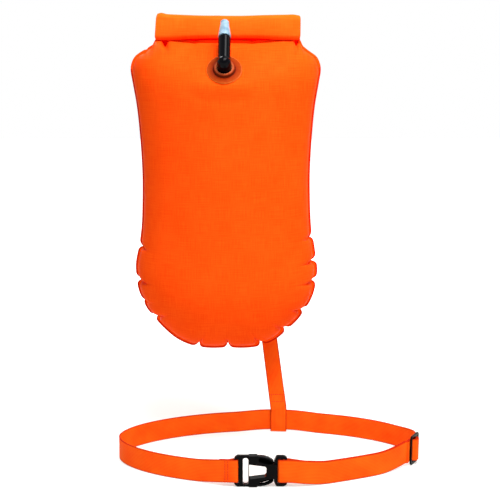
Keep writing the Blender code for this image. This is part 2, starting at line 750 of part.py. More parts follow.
def make_rolled_mouth(finish_used, stiffener_finish):
    """The flattened mouth coiled towards the front round its stiffener, with its tail between the panels."""
    pitch = roll_ply + layer_gap
    first = stiffener_thickness / 2 + layer_gap + roll_ply / 2
    last = first + roll_half_turns * pitch / 2
    straight = roll_half_height - last - roll_ply / 2
    centre = Vector((bag_shift, bag_set_back - last, roll_centre))
    side = 1 if roll_half_turns % 2 == 0 else -1
    radius = first
    line = [(side * radius, -side * straight)]
    for _ in range(roll_half_turns):
        steps = 6
        for i in range(steps + 1):
            grown = radius + pitch / 2 * i / steps
            angle = math.pi * i / steps
            line.append((side * grown * math.cos(angle), side * (straight + grown * math.sin(angle))))
        radius += pitch / 2
        side = -side
    line[-1] = (line[-1][0], line[-1][1])
    neck = bag_bottom + bag_height + seat_gap - roll_centre
    line.append((last, neck))
    path = [centre + Vector((0, y, z)) for y, z in line]
    ribbon("rolled_mouth", path, (1, 0, 0), 2 * roll_half_width, roll_ply, finish_used)
    half = stiffener_thickness / 2
    strip = rounded_outline(-roll_half_width + overrun, roll_half_width - overrun, -straight, straight, overrun, 3)
    plate("mouth_stiffener", strip, -half, half, stiffener_finish, Matrix.Translation(centre))


def make_closure(buckle_finish, webbing_finish):
    """The buckle behind the roll and its two sewn tabs, which keep the mouth rolled."""
    s = closure_buckle
    make_buckle("closure", s, closure_frame, buckle_finish)
    back = closure_frame.translation.y
    near = bag_set_back + roll_ply / 2 + seat_gap + webbing_thickness / 2
    height = roll_centre
    end = roll_half_width - seat_gap
    left_x = closure_frame.translation.x
    wrap = (left_x + s.wrap_centre, back)
    line = [(bag_shift - end, near), (left_x - sewn_length, near), (left_x - s.wrap_radius, back - s.wrap_radius)]
    line += arc(wrap, s.wrap_radius, -90, 90, 6)
    line += [(left_x - s.wrap_radius, back + s.wrap_radius), (left_x - sewn_length / 2, near + 1.3 * tab_pitch),
             (left_x - sewn_length - tab_pitch, near + 1.1 * tab_pitch)]
    tab = [Vector((x, y, height)) for x, y in line]
    ribbon("closure_tab_left", tab, (0, 0, 1), tab_width, webbing_thickness, webbing_finish)
    right_x = left_x + s.male_end
    wrap = (left_x + s.male_wrap, back)
    line = [(bag_shift + end, near), (right_x + sewn_length, near), (right_x + s.wrap_radius, back - s.wrap_radius)]
    line += arc(wrap, s.wrap_radius, 270, 90, 6)
    line += [(right_x + s.wrap_radius, back + s.wrap_radius), (right_x + sewn_length / 2, near + 1.3 * tab_pitch),
             (right_x + sewn_length + tab_pitch, near + 1.1 * tab_pitch)]
    tab = [Vector((x, y, height)) for x, y in line]
    ribbon("closure_tab_right", tab, (0, 0, 1), tab_width, webbing_thickness, webbing_finish)


def make_valve(flange_finish, tube_finish, mouthpiece_finish, washer_finish):
    """The welded flange with its soft neck, the elbow that turns in it, and the screwed mouthpiece."""
    bore = stem_radius + seat_gap
    low = seat_gap
    top = low + flange_thickness
    skin = neck_radius - neck_wall
    turned("valve_flange", (
        (bore, -neck_depth), (skin, -neck_depth), (skin, low), (flange_radius, low),
        (flange_radius, low + flange_thickness * 0.6), (flange_radius - flange_thickness, top),
        (neck_radius + flange_thickness, top), (neck_radius, top + flange_thickness * 0.7),
        (neck_radius, neck_height - flange_thickness * 0.5), (neck_radius - flange_thickness * 0.6, neck_height),
        (bore + flange_thickness, neck_height), (bore, neck_height - flange_thickness),
    ), flange_finish, valve_frame, 32)
    along_tube = valve_frame @ Matrix.Translation((0, 0, elbow_height)) @ Matrix.Rotation(math.radians(-90), 4, "X")
    along_tube = along_tube @ Matrix.Rotation(facet_turn, 4, "Z")
    dome = [(stem_radius * math.cos(math.radians(a)), elbow_height + stem_radius * math.sin(math.radians(a)))
            for a in (90, 68, 45, 22, 0)]
    dome[0] = (0, dome[0][1])
    stem = turned("valve_elbow", dome + [(stem_radius, seat_gap - neck_depth), (0, seat_gap - neck_depth)],
                  tube_finish, valve_frame)
    rim = tube_rim
    tube = turned("valve_elbow_tube", (
        (0, tube_length + nozzle_length), (nozzle_radius - rim / 2, tube_length + nozzle_length),
        (nozzle_radius, tube_length + nozzle_length - rim / 2), (nozzle_radius, tube_length),
        (tube_radius - rim, tube_length), (tube_radius, tube_length - rim), (tube_radius, 0), (0, 0),
    ), tube_finish, along_tube)
    combine(stem, [tube], "UNION")
    long = tube_length + nozzle_length + overrun
    bend = elbow_height + 0.45 * valve_bore
    start = -0.6 * valve_bore
    bore_tube = turned("valve_elbow_bore", ((0, long), (valve_bore, long), (valve_bore, start), (0, start)),
                       tube_finish, along_tube, 20)
    bore_stem = turned("valve_elbow_inlet", ((0, bend), (0.9 * valve_bore, bend), (0.9 * valve_bore, -2 * neck_depth),
                                             (0, -2 * neck_depth)), tube_finish, valve_frame, 20)
    combine(stem, [bore_tube, bore_stem], "DIFFERENCE")
    base = tube_length + seat_gap
    tip = base + mouthpiece_length
    ceiling = tube_length + nozzle_length + 2 * seat_gap + washer_thickness
    inner = nozzle_radius + seat_gap
    wall = mouthpiece_skirt_radius - inner
    turned("mouthpiece", (
        (inner, base), (mouthpiece_skirt_radius, base), (mouthpiece_skirt_radius, base + wall),
        (mouthpiece_skirt_radius - 0.5 * wall, base + 5 * wall), (mouthpiece_lip_radius, tip - 3 * wall),
        (mouthpiece_lip_radius, tip - wall), (mouthpiece_lip_radius - 0.7 * wall, tip - 0.2 * wall),
        (mouthpiece_bore + 0.3 * wall, tip), (mouthpiece_bore, tip - 0.5 * wall), (mouthpiece_bore, ceiling),
        (inner, ceiling),
    ), mouthpiece_finish, along_tube, 24)
    washer_low = tube_length + nozzle_length + seat_gap
    washer_in = mouthpiece_bore
    turned("mouthpiece_washer", (
        (washer_in, washer_low), (nozzle_radius, washer_low), (nozzle_radius, washer_low + washer_thickness),
        (washer_in, washer_low + washer_thickness),
    ), washer_finish, along_tube, 20)
    pin = mouthpiece_bore - seat_gap
    plug_base = tube_length + nozzle_length * 0.4
    plug = turned("valve_plug", ((0, ceiling + pin), (pin * 0.5, ceiling + pin), (pin, ceiling + pin * 0.4),
                                 (pin, plug_base), (0, plug_base)), tube_finish, along_tube, 16)
    leg = 0.6 * pin
    reach = valve_bore - seat_gap
    legs = []
    for i in range(3):
        turn = along_tube @ Matrix.Rotation(math.radians(120 * i), 4, "Z")
        leg_outline = box_outline(0, reach, plug_base, plug_base + nozzle_length * 0.35)
        legs.append(plate(f"valve_plug_leg_{i}", leg_outline, -leg / 2, leg / 2, tube_finish, turn))
    combine(plug, legs, "UNION")


def make_anchor(patch_finish, webbing_finish, metal_finish):
    """The patch welded behind the bag, the sewn keeper on it and the ring that the keeper holds."""
    to_plane = anchor_frame @ Matrix.Rotation(math.radians(90), 4, "X")
    low = seat_gap
    high = low + patch_thickness
    inset = pad_margin / 2
    outline = rounded_outline(-patch_half_width + inset, patch_half_width - inset, -patch_half_height + inset,
                              patch_half_height - inset, patch_corner, 3)
    plate("anchor_patch", outline, low, high, patch_finish, to_plane)
    first = high + seat_gap + webbing_thickness / 2
    sewn = -patch_half_height + 2 * patch_thickness
    path = [(sewn, first), (0, first)]
    path += arc((anchor_bar_drop, anchor_bar_level), anchor_wrap, -90, 90, 6)
    path += [(anchor_bar_drop / 2, first + 1.6 * tab_pitch), (anchor_bar_drop / 4, first + tab_pitch), (sewn, first + tab_pitch)]
    ribbon("anchor_keeper", [(0, y, z) for y, z in path], (1, 0, 0), tab_width, webbing_thickness, webbing_finish,
           anchor_frame)
    half_width = tab_width / 2 + anchor_ring_margin
    far = anchor_bar_drop + anchor_ring_height
    points = rounded_outline(-half_width, half_width, anchor_bar_drop, far, anchor_ring_corner, 3)
    curve = bpy.data.curves.new("anchor_ring", "CURVE")
    curve.dimensions = "3D"
    wire = curve.splines.new("POLY")
    wire.points.add(len(points) - 1)
    for spot, (x, y) in zip(wire.points, points):
        spot.co = (x, y - anchor_bar_drop, 0, 1)
    wire.use_cyclic_u = True
    curve.bevel_depth = anchor_wire / 2
    curve.bevel_resolution = 2
    curve.materials.append(metal_finish)
    ring = bpy.data.objects.new("anchor_ring", curve)
    bpy.context.scene.collection.objects.link(ring)
    ring.parent = buoy
    ring.matrix_local = anchor_frame @ Matrix.Translation((0, anchor_bar_drop, anchor_bar_level))


def leash_x(height):
    """Where the leash's middle line is at this height, bowing a little on its way to the anchor."""
    top = anchor_height - anchor_bar_drop
    share = (height - belt_width) / (top - belt_width)
    return leash_loop_x + (bag_shift - leash_loop_x) * share * (0.7 + 0.3 * share)


def leash_point(height):
    """The middle of the leash behind the bag at this height, lying on the back panel."""
    x = leash_x(height)
    out = bulge(x - bag_shift, height)
    return Vector((x, bag_set_back + out + leash_bag_gap + webbing_thickness / 2, height))


def leash_side(height):
    """The direction across the leash where it lies on the back panel."""
    x = leash_x(height) - bag_shift
    half = leash_width / 2
    return Vector((leash_width, bulge(x + half, height) - bulge(x - half, height), 0)).normalized()


def make_leash(finish_used):
    """The tow strap: sewn round the back of the belt, up the back of the bag and round the anchor's ring."""
    layer = webbing_thickness + loop_gap
    low = webbing_thickness / 2
    high = belt_width + 2 * layer
    across = ring_back_along
    outward = Vector((-across.y, across.x, 0))
    touch_height = bag_bottom + leash_touch_share * bag_height
    lead_height = anchor_height - leash_lead
    touch = leash_point(touch_height)
    base = ring_back - outward * layer + Vector((0, 0, high))
    rise = (touch - base) / (touch.z - base.z)
    behind = outward * (1.1 * tab_pitch)
    loop = arc((0, low + layer), layer, 0, -180, 6)
    line = [base + rise * leash_sewn_top + behind, base + rise * (0.4 * leash_sewn_top) + behind,
            ring_back + outward * layer + Vector((0, 0, high - layer))]
    line += [ring_back + outward * out + Vector((0, 0, z)) for out, z in loop]
    line += [ring_back - outward * layer + Vector((0, 0, high - layer)), base, base + rise * leash_sewn_top]
    sides = [across] * len(line)
    middle = (base + rise * leash_sewn_top).lerp(touch, 0.5)
    shares = [(i / leash_steps) ** leash_ease_share for i in range(leash_steps + 1)]
    heights = [touch_height + (lead_height - touch_height) * share for share in shares]
    line += [middle] + [leash_point(height) for height in heights]
    sides += [across.lerp(leash_side(touch_height), 0.5)] + [leash_side(height) for height in heights]
    bar = (anchor_bar_drop + anchor_ring_height, anchor_bar_level)
    strap = [(bar[0] + 3 * anchor_wire, bar[1] + anchor_wrap - webbing_thickness)]
    strap += arc(bar, anchor_wrap, 90, 270, 8)
    strap += [(bar[0] + 3 * anchor_wire, bar[1] - anchor_wrap + webbing_thickness),
              (bar[0] + 5 * anchor_wire, bar[1] - anchor_wrap)]
    line += [anchor_frame @ Vector((0, y, z)) for y, z in strap]
    sides += [Vector((1, 0, 0))] * len(strap)
    return ribbon("tow_leash", line, sides, leash_width, webbing_thickness, finish_used)


clear_scene()
buoy = bpy.data.objects.new("swim_buoy", None)
bpy.context.scene.collection.objects.link(buoy)

ring_front = ring_half_depth * ring_front_share + buckle_forward
belt_buckle = BuckleSizes(belt_width, spare_slot=True)
closure_buckle = BuckleSizes(tab_width, spare_slot=False)
buckle_left = buckle_shift - belt_buckle.male_end / 2
buckle_right = buckle_shift + belt_buckle.male_end / 2
belt_buckle_frame = Matrix.Translation((buckle_left, -ring_front + belt_buckle.wrap_radius, belt_buckle.half_height))

back_angle = min((math.radians(a / 4) for a in range(240, 480)), key=lambda a: abs(ring_point(a).x - leash_loop_x))
ring_back = ring_point(back_angle)
ring_back_along = (ring_point(back_angle - 0.05) - ring_point(back_angle + 0.05)).normalized()

adjuster_half = belt_width / 2 + adjuster_play + adjuster_rail
adjuster_plane = adjuster_thickness / 2 + layer_gap + webbing_thickness / 2
adjuster_along = ring_point(adjuster_angle - 0.01) - ring_point(adjuster_angle + 0.01)
adjuster_along.normalize()
adjuster_place = ring_point(adjuster_angle)
tab_pitch = webbing_thickness + layer_gap
adjuster_out = Vector((-adjuster_along.y, adjuster_along.x, 0))
adjuster_frame = Matrix.Translation(adjuster_place) @ Matrix(
    (adjuster_along, adjuster_out, Vector((0, 0, 1)))).transposed().to_4x4()

bag_edge = bag_outline()
valve_height = bag_bottom + bag_height - valve_drop
anchor_height = bag_bottom + bag_height - anchor_drop
roll_centre = bag_bottom + bag_height + seat_gap + roll_half_height + roll_ply
valve_frame = face_frame(0, valve_height, -1)
anchor_frame = face_frame(0, anchor_height, 1)
anchor_wrap = anchor_wire / 2 + layer_gap + webbing_thickness / 2
anchor_bar_level = 2 * seat_gap + patch_thickness + webbing_thickness / 2 + anchor_wrap
closure_depth = bag_set_back + roll_ply / 2 + seat_gap + closure_buckle.body_half
closure_frame = Matrix.Translation((bag_shift - closure_buckle.male_end / 2, closure_depth, roll_centre))
front_reach = ring_front - belt_buckle.wrap_radius + belt_buckle.body_half
back_reach = (anchor_frame @ Vector((0, anchor_bar_drop + anchor_ring_height, anchor_bar_level + anchor_wrap))).y
buoy.location = (0, (front_reach - back_reach) / 2, 0)

orange_fabric = finish("orange coated fabric", (0.93, 0.10, 0.008), 0.5)
orange_webbing = finish("orange webbing", (0.93, 0.11, 0.008), 0.7)
black_plastic = finish("black plastic", (0.006, 0.006, 0.008), 0.35)
clear_orange = finish("clear orange", (0.85, 0.13, 0.02), 0.3, alpha=0.8)
milky_plastic = finish("milky plastic", (0.62, 0.76, 0.84), 0.3, alpha=0.9)
black_rubber = finish("black rubber", (0.01, 0.01, 0.01), 0.7)
strip_plastic = finish("strip plastic", (0.3, 0.3, 0.3), 0.5)
steel = finish("steel", (0.6, 0.6, 0.6), 0.25, 1.0)

make_bag(orange_fabric)
make_rolled_mouth(orange_fabric, strip_plastic)
make_closure(black_plastic, orange_webbing)
make_valve(clear_orange, black_plastic, milky_plastic, black_rubber)
make_anchor(orange_fabric, orange_webbing, steel)
make_belt(orange_webbing)
make_buckle("belt_buckle", belt_buckle, belt_buckle_frame, black_plastic)
make_adjuster(black_plastic)
make_leash(orange_webbing)
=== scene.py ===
import math

import bmesh
import bpy
import numpy as np
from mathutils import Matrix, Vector, noise
from mathutils.bvhtree import BVHTree


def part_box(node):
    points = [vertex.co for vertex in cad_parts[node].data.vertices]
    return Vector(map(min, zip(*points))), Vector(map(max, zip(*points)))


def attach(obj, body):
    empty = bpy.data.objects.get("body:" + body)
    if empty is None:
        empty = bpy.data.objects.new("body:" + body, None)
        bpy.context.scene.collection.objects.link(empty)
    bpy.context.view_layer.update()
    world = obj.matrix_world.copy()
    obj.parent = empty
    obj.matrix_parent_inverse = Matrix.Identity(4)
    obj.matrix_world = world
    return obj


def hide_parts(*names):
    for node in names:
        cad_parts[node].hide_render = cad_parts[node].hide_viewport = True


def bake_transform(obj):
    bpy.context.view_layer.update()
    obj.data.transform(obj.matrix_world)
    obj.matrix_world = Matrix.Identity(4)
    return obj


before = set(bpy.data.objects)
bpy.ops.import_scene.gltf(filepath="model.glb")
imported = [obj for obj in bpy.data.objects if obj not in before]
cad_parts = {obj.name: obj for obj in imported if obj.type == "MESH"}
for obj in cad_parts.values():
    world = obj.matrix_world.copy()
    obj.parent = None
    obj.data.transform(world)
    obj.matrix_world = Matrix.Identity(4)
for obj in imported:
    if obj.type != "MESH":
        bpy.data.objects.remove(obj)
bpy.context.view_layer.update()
mm = 0.001

# Viewpoint and studio: a level sheet of white paper, white all round, and soft boxes overhead, at both sides,
# low in front of the belt and behind. The camera stands about a metre from the belt, 0.4 m above the floor.
scene = bpy.context.scene
scene.view_settings.view_transform = "Standard"
camera = bpy.data.objects.new("camera", bpy.data.cameras.new("camera"))
scene.collection.objects.link(camera)
camera.data.lens = 71.35
camera.data.sensor_width = 36
camera.location = (-0.0195, -1.0873, 0.415)
camera.rotation_euler = (math.radians(80.28), 0, 0)
scene.camera = camera
fill_level = 0.28
white_level = 1.0
paper_colour = (0.64, 0.64, 0.62, 1)
paper_glow_colour = (1, 0.99, 0.95, 1)
paper_glow_near, paper_glow_far = 0.48, 1.1
paper_near, paper_far = 0.2, 0.9
soft_boxes = (  # name, place, aim, width, height, watts
    ("box_overhead", (0.28, -0.5, 1.35), (0, 0, 0.36), 0.9, 0.7, 26),
    ("box_right", (1.2, -1.0, 0.5), (0, 0, 0.28), 0.35, 1.2, 6),
    ("box_left", (-1.3, -0.9, 0.5), (0, 0, 0.28), 0.3, 1.2, 3.6),
    ("box_low", (-0.5, -1.6, 0.12), (0, 0, 0.03), 0.9, 0.22, 1.8),
    ("box_behind", (-0.4, 1.25, 1.5), (0, 0, 0.26), 0.9, 0.7, 21),
)
for name, place, aim, width, height, watts in soft_boxes:
    light = bpy.data.lights.new(name, "AREA")
    light.shape = "RECTANGLE"
    light.size, light.size_y = width, height
    light.energy = watts
    lamp = bpy.data.objects.new(name, light)
    scene.collection.objects.link(lamp)
    lamp.location = place
    lamp.rotation_euler = (Vector(aim) - Vector(place)).to_track_quat("-Z", "Y").to_euler()


def reckoned(tree, kind, *terms, **settings):
    """The output of a shader node of this kind, fed with other nodes' outputs and plain values."""
    node = tree.nodes.new("ShaderNode" + kind)
    for key, value in settings.items():
        setattr(node, key, value)
    for term, socket in zip(terms, [s for s in node.inputs if s.enabled]):
        if isinstance(term, bpy.types.NodeSocket):
            tree.links.new(term, socket)
        else:
            socket.default_value = term
    return next(s for s in node.outputs if s.enabled)


def mapped(tree, value, low, high, start=0.0, end=1.0):
    """The value's range from start to end, turned into the one from low to high."""
    return reckoned(tree, "MapRange", value, start, end, low, high)


def seen_directly(tree):
    """1 for what the camera sees, straight or in gloss or glass, and 0 for light that falls on the object."""
    rays = tree.nodes.new("ShaderNodeLightPath")
    total = rays.outputs["Is Camera Ray"]
    for other in ("Is Glossy Ray", "Is Transmission Ray"):
        total = reckoned(tree, "Math", total, rays.outputs[other], operation="MAXIMUM")
    return total


def coordinates(tree, kind="Object"):
    return tree.nodes.new("ShaderNodeTexCoord").outputs[kind]


def new_material(name, colour, roughness, specular):
    made = bpy.data.materials.new(name)
    made.use_nodes = True
    shader = made.node_tree.nodes["Principled BSDF"]
    shader.inputs["Base Color"].default_value = colour
    shader.inputs["Roughness"].default_value = roughness
    shader.inputs["Specular IOR Level"].default_value = specular
    return made, made.node_tree, shader


def mesh_object(name, mesh, materials):
    data = bpy.data.meshes.new(name)
    mesh.to_mesh(data)
    mesh.free()
    for used in materials:
        data.materials.append(used)
    data.shade_smooth()
    made = bpy.data.objects.new(name, data)
    scene.collection.objects.link(made)
    return made


def white_paper():
    """Plain paper that takes the shadow. It glows for the eye alone, and so goes over into the white around."""
    made, tree, shader = new_material("floor_paper", paper_colour, 0.9, 0.1)
    away = reckoned(tree, "VectorMath", coordinates(tree), operation="LENGTH")
    glow = mapped(tree, away, paper_glow_near, paper_glow_far, paper_near, paper_far)
    glow = reckoned(tree, "Math", seen_directly(tree), glow, operation="MULTIPLY")
    tree.links.new(glow, shader.inputs["Emission Strength"])
    shader.inputs["Emission Color"].default_value = paper_glow_colour
    return made


world = bpy.data.worlds.new("studio")
scene.world = world
world.use_nodes = True
sky = world.node_tree.nodes["Background"]
sky.inputs["Color"].default_value = (1, 1, 1, 1)
sky_level = mapped(world.node_tree, seen_directly(world.node_tree), fill_level, white_level)
world.node_tree.links.new(sky_level, sky.inputs["Strength"])
floor_mesh = bmesh.new()
bmesh.ops.create_grid(floor_mesh, x_segments=2, y_segments=2, size=6)
floor = mesh_object("floor", floor_mesh, [white_paper()])
floor.location.z = -0.3 * mm

# Bag panels: two sheets of orange nylon with a shiny coating inside, welded together all round the edge.
# Air pressure domes them, and the edge puckers into notches with short creases where it curves.
bag_middle = -46.5 * mm
seam_depth = (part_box("front_panel")[1].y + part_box("back_panel")[0].y) / 2
bag_bottom = 108.4 * mm
bag_height = 347.9 * mm
bag_top = bag_bottom + bag_height
bag_half_width = 105.7 * mm
bag_half_thickness = 75 * mm
bag_top_radius = 78 * mm
bag_bottom_radius = 86 * mm
panel_thickness = 0.4 * mm
weld_half_thickness = 0.5 * mm
weld_width = 3.2 * mm
trim_width = 1.8 * mm
trim_top = bag_top - 27 * mm
edge_spacing = 0.3 * mm
edge_shares = (
    (1.0, 0.747), (0.989, 0.822), (0.964, 0.935), (0.939, 0.985), (0.913, 1.0), (0.876, 0.982),
    (0.80, 0.942), (0.71, 0.915), (0.61, 0.898), (0.53, 0.897), (0.42, 0.912), (0.34, 0.947),
    (0.28, 0.978), (0.22, 0.968), (0.165, 0.915), (0.115, 0.82), (0.07, 0.69), (0.03, 0.535),
    (0.006, 0.36), (0.0, 0.2), (0.0, 0.0),
)
# Notches of the edge: (degrees from straight down, depth in mm)
notches = ((-109.4, 5), (-87.6, 8.5), (-73, 2), (-60, 9), (-22, 6.5), (1, 6.5), (26.6, 7), (47.5, 7.5),
           (65.5, 8.5), (87, 7.6), (100, 7), (115, 4))
notch_width = 8 * mm
notch_bulge = 0.9 * mm
notch_reach = 26 * mm
crease_depth, crease_run = 3.5 * mm, 10 * mm
crease_width, crease_widening = 2.4 * mm, 0.12
ruffle = 3 * mm
# The bottom, where the weld is wider, the notches reach further in and the sheet bends over more sharply
under_top, under_ease = bag_bottom + 66 * mm, 60 * mm
lower_top, lower_ease = bag_bottom + 160 * mm, 90 * mm
lower_weld, under_weld = 1.5 * mm, 3 * mm
lower_reach, under_reach = 5 * mm, 7 * mm
under_sink, under_run = 0.3, 22 * mm
# Shoulders: they start this far below the top and this far from the middle, and sink a little
shoulder_height = 42 * mm
shoulder_start, shoulder_run = 76 * mm, 28 * mm
shoulder_drop_left, shoulder_drop_right = 1.8 * mm, 2.6 * mm
shoulder_shift = 3 * mm
# Upright swellings of the front and back: (across, width)
swellings = ((-40 * mm, 17 * mm), (43 * mm, 15 * mm))
swelling_rise, swelling_run = 2.4 * mm, 20 * mm
swelling_low, swelling_high = 170 * mm, 410 * mm
wave_rise, wave_pitch = 0.7 * mm, 17
pucker_rise, pucker_run = 0.35 * mm, 16 * mm
# Folds of the sheets: (across, height, degrees from straight down, length, width, depth), in mm
neck_folds = (
    (-70, 461, 26, 22, 2.6, 16.0), (-88, 448, -20, 11, 1.8, 3.4), (-79, 457, -48, 20, 3.5, 1.6),
    (79, 461, -8, 22, 2.0, 12.0), (60.6, 461, 0, 8, 3.0, 8.0), (-35, 458, 8, 14, 5.0, 1.6),
    (30, 458, -6, 15, 6.0, 1.8),
)
fold_lead = 6
folds_low = 415 * mm
neck_end_left, neck_end_right = 81 * mm, 86 * mm
tuck_out, tuck_rise, tuck_reach = 2.5 * mm, 2.9 * mm, 10 * mm
tuck_rise_outside = 1.6 * mm
# Places where fittings hold the sheet flat: (seat, outwards, half across, half up, width of the ramp round it)
right = Vector((1, 0, 0))
valve_out = Vector((0, -0.781206, 0.624273))
valve_seat = Vector((-0.0465, -0.026653, 0.425612))
valve_hole = 9 * mm
valve_place = (valve_seat, valve_out, 19.75 * mm, 19.75 * mm, 28 * mm)
patch_out = Vector((0, 0.873477, 0.486866))
anchor_bar = Vector((-0.0465, 0.109999, 0.405327))
anchor_bar_height = 4.75 * mm
anchor_bar_drop = 14 * mm
patch_down = Vector((0, patch_out.z, -patch_out.y))
patch_seat = anchor_bar - patch_out * anchor_bar_height - patch_down * anchor_bar_drop
patch_place = (patch_seat, patch_out, 22 * mm, 15 * mm, 22 * mm)
flat_depth, flat_ease = 14 * mm, 9 * mm


def smooth_step(value):
    value = min(max(value, 0.0), 1.0)
    return value * value * (3 - 2 * value)


def hill(distance, width):
    return math.exp(-(distance / width) ** 2)


def smooth_line(points, steps):
    """Catmull-Rom points through the given ones."""
    points = [Vector(p) for p in points]
    padded = [2 * points[0] - points[1]] + points + [2 * points[-1] - points[-2]]
    line = []
    for a, b, c, d in zip(padded, padded[1:], padded[2:], padded[3:]):
        for i in range(steps):
            t = i / steps
            cubic = (2 * a - 5 * b + 4 * c - d) * t**2 + (3 * b - a - 3 * c + d) * t**3
            line.append(0.5 * (2 * b + (c - a) * t + cubic))
    return line + [points[-1]]


def lengths_along(line, start=0.0):
    lengths = [start]
    for a, b in zip(line, line[1:]):
        lengths.append(lengths[-1] + (b - a).length)
    return lengths


def resampled(line, spacing):
    """The same line with points about this far apart."""
    lengths = lengths_along(line)
    count = max(2, round(lengths[-1] / spacing))
    made, k = [], 0
    for i in range(count + 1):
        want = lengths[-1] * i / count
        while k < len(line) - 2 and lengths[k + 1] < want:
            k += 1
        share = (want - lengths[k]) / max(lengths[k + 1] - lengths[k], 1e-9)
        made.append(line[k].lerp(line[k + 1], share))
    return made


def steps_along_edge(last, marks):
    """Which points of the fine outline are kept: every sixth, and more beside a notch, alike on both sides."""
    near = [m + side * step for m in marks + [last - m for m in marks] for side in (1, -1)
            for step in (0, 1, 2, 4, 6, 9, 12, 16)]
    chosen = []
    for i in sorted(set(near) | set(range(0, last + 1, 6))):
        if i <= last // 2 and (not chosen or i - chosen[-1] >= 2 or i in marks):
            chosen.append(i)
    return chosen + [last - i for i in reversed(chosen) if last - i > chosen[-1]]


def notch_drop(i, marks, depths, step):
    """How far the edge is drawn in at a point, less the slight bulge between two notches."""
    gap = min(((i - m) * step for m in marks), key=abs)
    nearest = min(zip(marks, depths), key=lambda mark: abs(i - mark[0]))[1]
    drop = nearest * max(0.0, 1 - abs(gap) / notch_width) ** 3
    before, after = [m for m in marks if m <= i][-1:], [m for m in marks if m > i][:1]
    if before and after:
        drop -= notch_bulge * math.sin(math.pi * (i - before[0]) / (after[0] - before[0])) ** 0.6
    return gap, drop


def bag_edge():
    """(point, distance to the nearest notch, length so far, shift from the plain outline) round the edge."""
    half = smooth_line([(w * bag_half_width, 0, bag_bottom + h * bag_height) for h, w in edge_shares], 8)
    whole = resampled(half + [Vector((-p.x, 0, p.z)) for p in reversed(half[:-1])], edge_spacing)
    hub = Vector((0, 0, bag_bottom + bag_bottom_radius))
    marks, depths = [], []
    for degrees, depth in sorted(notches, reverse=True):
        depths.append(depth * mm)
        aim = Vector((math.sin(math.radians(degrees)), 0, -math.cos(math.radians(degrees))))
        marks.append(max(range(len(whole)), key=lambda i: (whole[i] - hub).normalized().dot(aim)))
    last = len(whole) - 1
    step = (whole[1] - whole[0]).length
    edge = []
    for i in steps_along_edge(last, marks):
        point = whole[i].copy()
        if point.z > bag_top - shoulder_height:
            outward = min(max((abs(point.x) - shoulder_start) / shoulder_run, 0), 1)
            sunk = shoulder_drop_right if point.x > 0 else shoulder_drop_left
            point.z -= sunk * math.sin(math.pi * outward)
            if point.x > 0:
                point.x += shoulder_shift * (1 - outward)
        gap, drop = notch_drop(i, marks, depths, step)
        if point.z > hub.z + bag_bottom_radius:
            drop = 0
        shift = (hub - point).normalized() * drop
        edge.append((point + shift, gap, i * step, shift))
    top_spacing = 1.6 * mm
    top = resampled([edge[-1][0], edge[0][0]], top_spacing)[1:-1]
    return edge + [(p, 1.0, last * step + i * top_spacing, Vector()) for i, p in enumerate(top)]


def medial_foot(point):
    """The point of the bag's upright middle line that the sheet is drawn towards."""
    low = bag_bottom + bag_bottom_radius
    high = bag_top - bag_top_radius
    return Vector((0, 0, min(max(point.z, low), high)))


def panel_point(entry, angle, side):
    """A point of the dome: angle 0 is the inner edge of the weld, 90 degrees is the crown."""
    point, gap, along, shift = entry
    arc = angle * bag_half_thickness
    foot = medial_foot(point - shift)
    span = point - shift - foot
    under = smooth_step((under_top - point.z) / under_ease)
    lower = smooth_step((lower_top - point.z) / lower_ease)
    span *= 1 - (weld_width + lower_weld * lower + under_weld * under) / span.length
    reach = notch_reach + lower_reach * lower + under_reach * under
    spot = foot + span * math.cos(angle) + shift * math.exp(-(arc / reach) ** 2.4)
    out = weld_half_thickness + (bag_half_thickness - weld_half_thickness) * math.sin(angle)
    out *= 1 - under_sink * under * math.exp(-arc / under_run)
    crease = hill(gap * math.cos(angle), crease_width + crease_widening * arc) * math.exp(-arc / crease_run)
    out -= min(out - 0.3 * mm, crease_depth * crease)
    waves = noise.noise(Vector((spot.x, out * side, spot.z)) * wave_pitch)
    puckers = noise.noise(Vector((along * 60, arc * 12, side * 3.0)))
    fade = min(1.0, arc / swelling_run)
    level = smooth_step((spot.z - swelling_low) / (100 * mm)) * smooth_step((swelling_high - spot.z) / (50 * mm))
    for across, width in swellings:
        out += swelling_rise * hill(spot.x - across, width) * level * fade
    out += (wave_rise * waves + pucker_rise * puckers * math.exp(-arc / pucker_run)) * fade
    return Vector((bag_middle + spot.x, seam_depth + side * out, spot.z))


def folded(point, side):
    """Draws the sheet in along the folds below the neck, and out to the roll's underside between them."""
    x, z = point.x - bag_middle, point.z
    if z < folds_low:
        return point
    neck_end = neck_end_right if x > 0 else neck_end_left
    tuck = smooth_step((neck_end - abs(x)) / (4 * mm)) * hill(bag_top - z, tuck_reach)
    out = side * (point.y - seam_depth) + tuck_out * tuck
    rise = (tuck_rise + tuck_rise_outside * smooth_step((abs(x) - 40 * mm) / (25 * mm))) * tuck
    for across, height, degrees, length, width, depth in neck_folds:
        aim = Vector((math.sin(math.radians(degrees)), -math.cos(math.radians(degrees))))
        local = Vector((x / mm - across, z / mm - height))
        along = local.dot(aim)
        if -fold_lead < along < length:
            away = abs(local.x * aim.y - local.y * aim.x)
            press = depth * mm * hill(away, width * (0.7 + 0.6 * max(along, 0) / length))
            press *= smooth_step(1 - along / length) * smooth_step((along + fold_lead) / fold_lead)
            out -= 0.6 * press
            rise -= 0.6 * press
    return Vector((point.x, seam_depth + side * max(out, weld_half_thickness), z + rise))


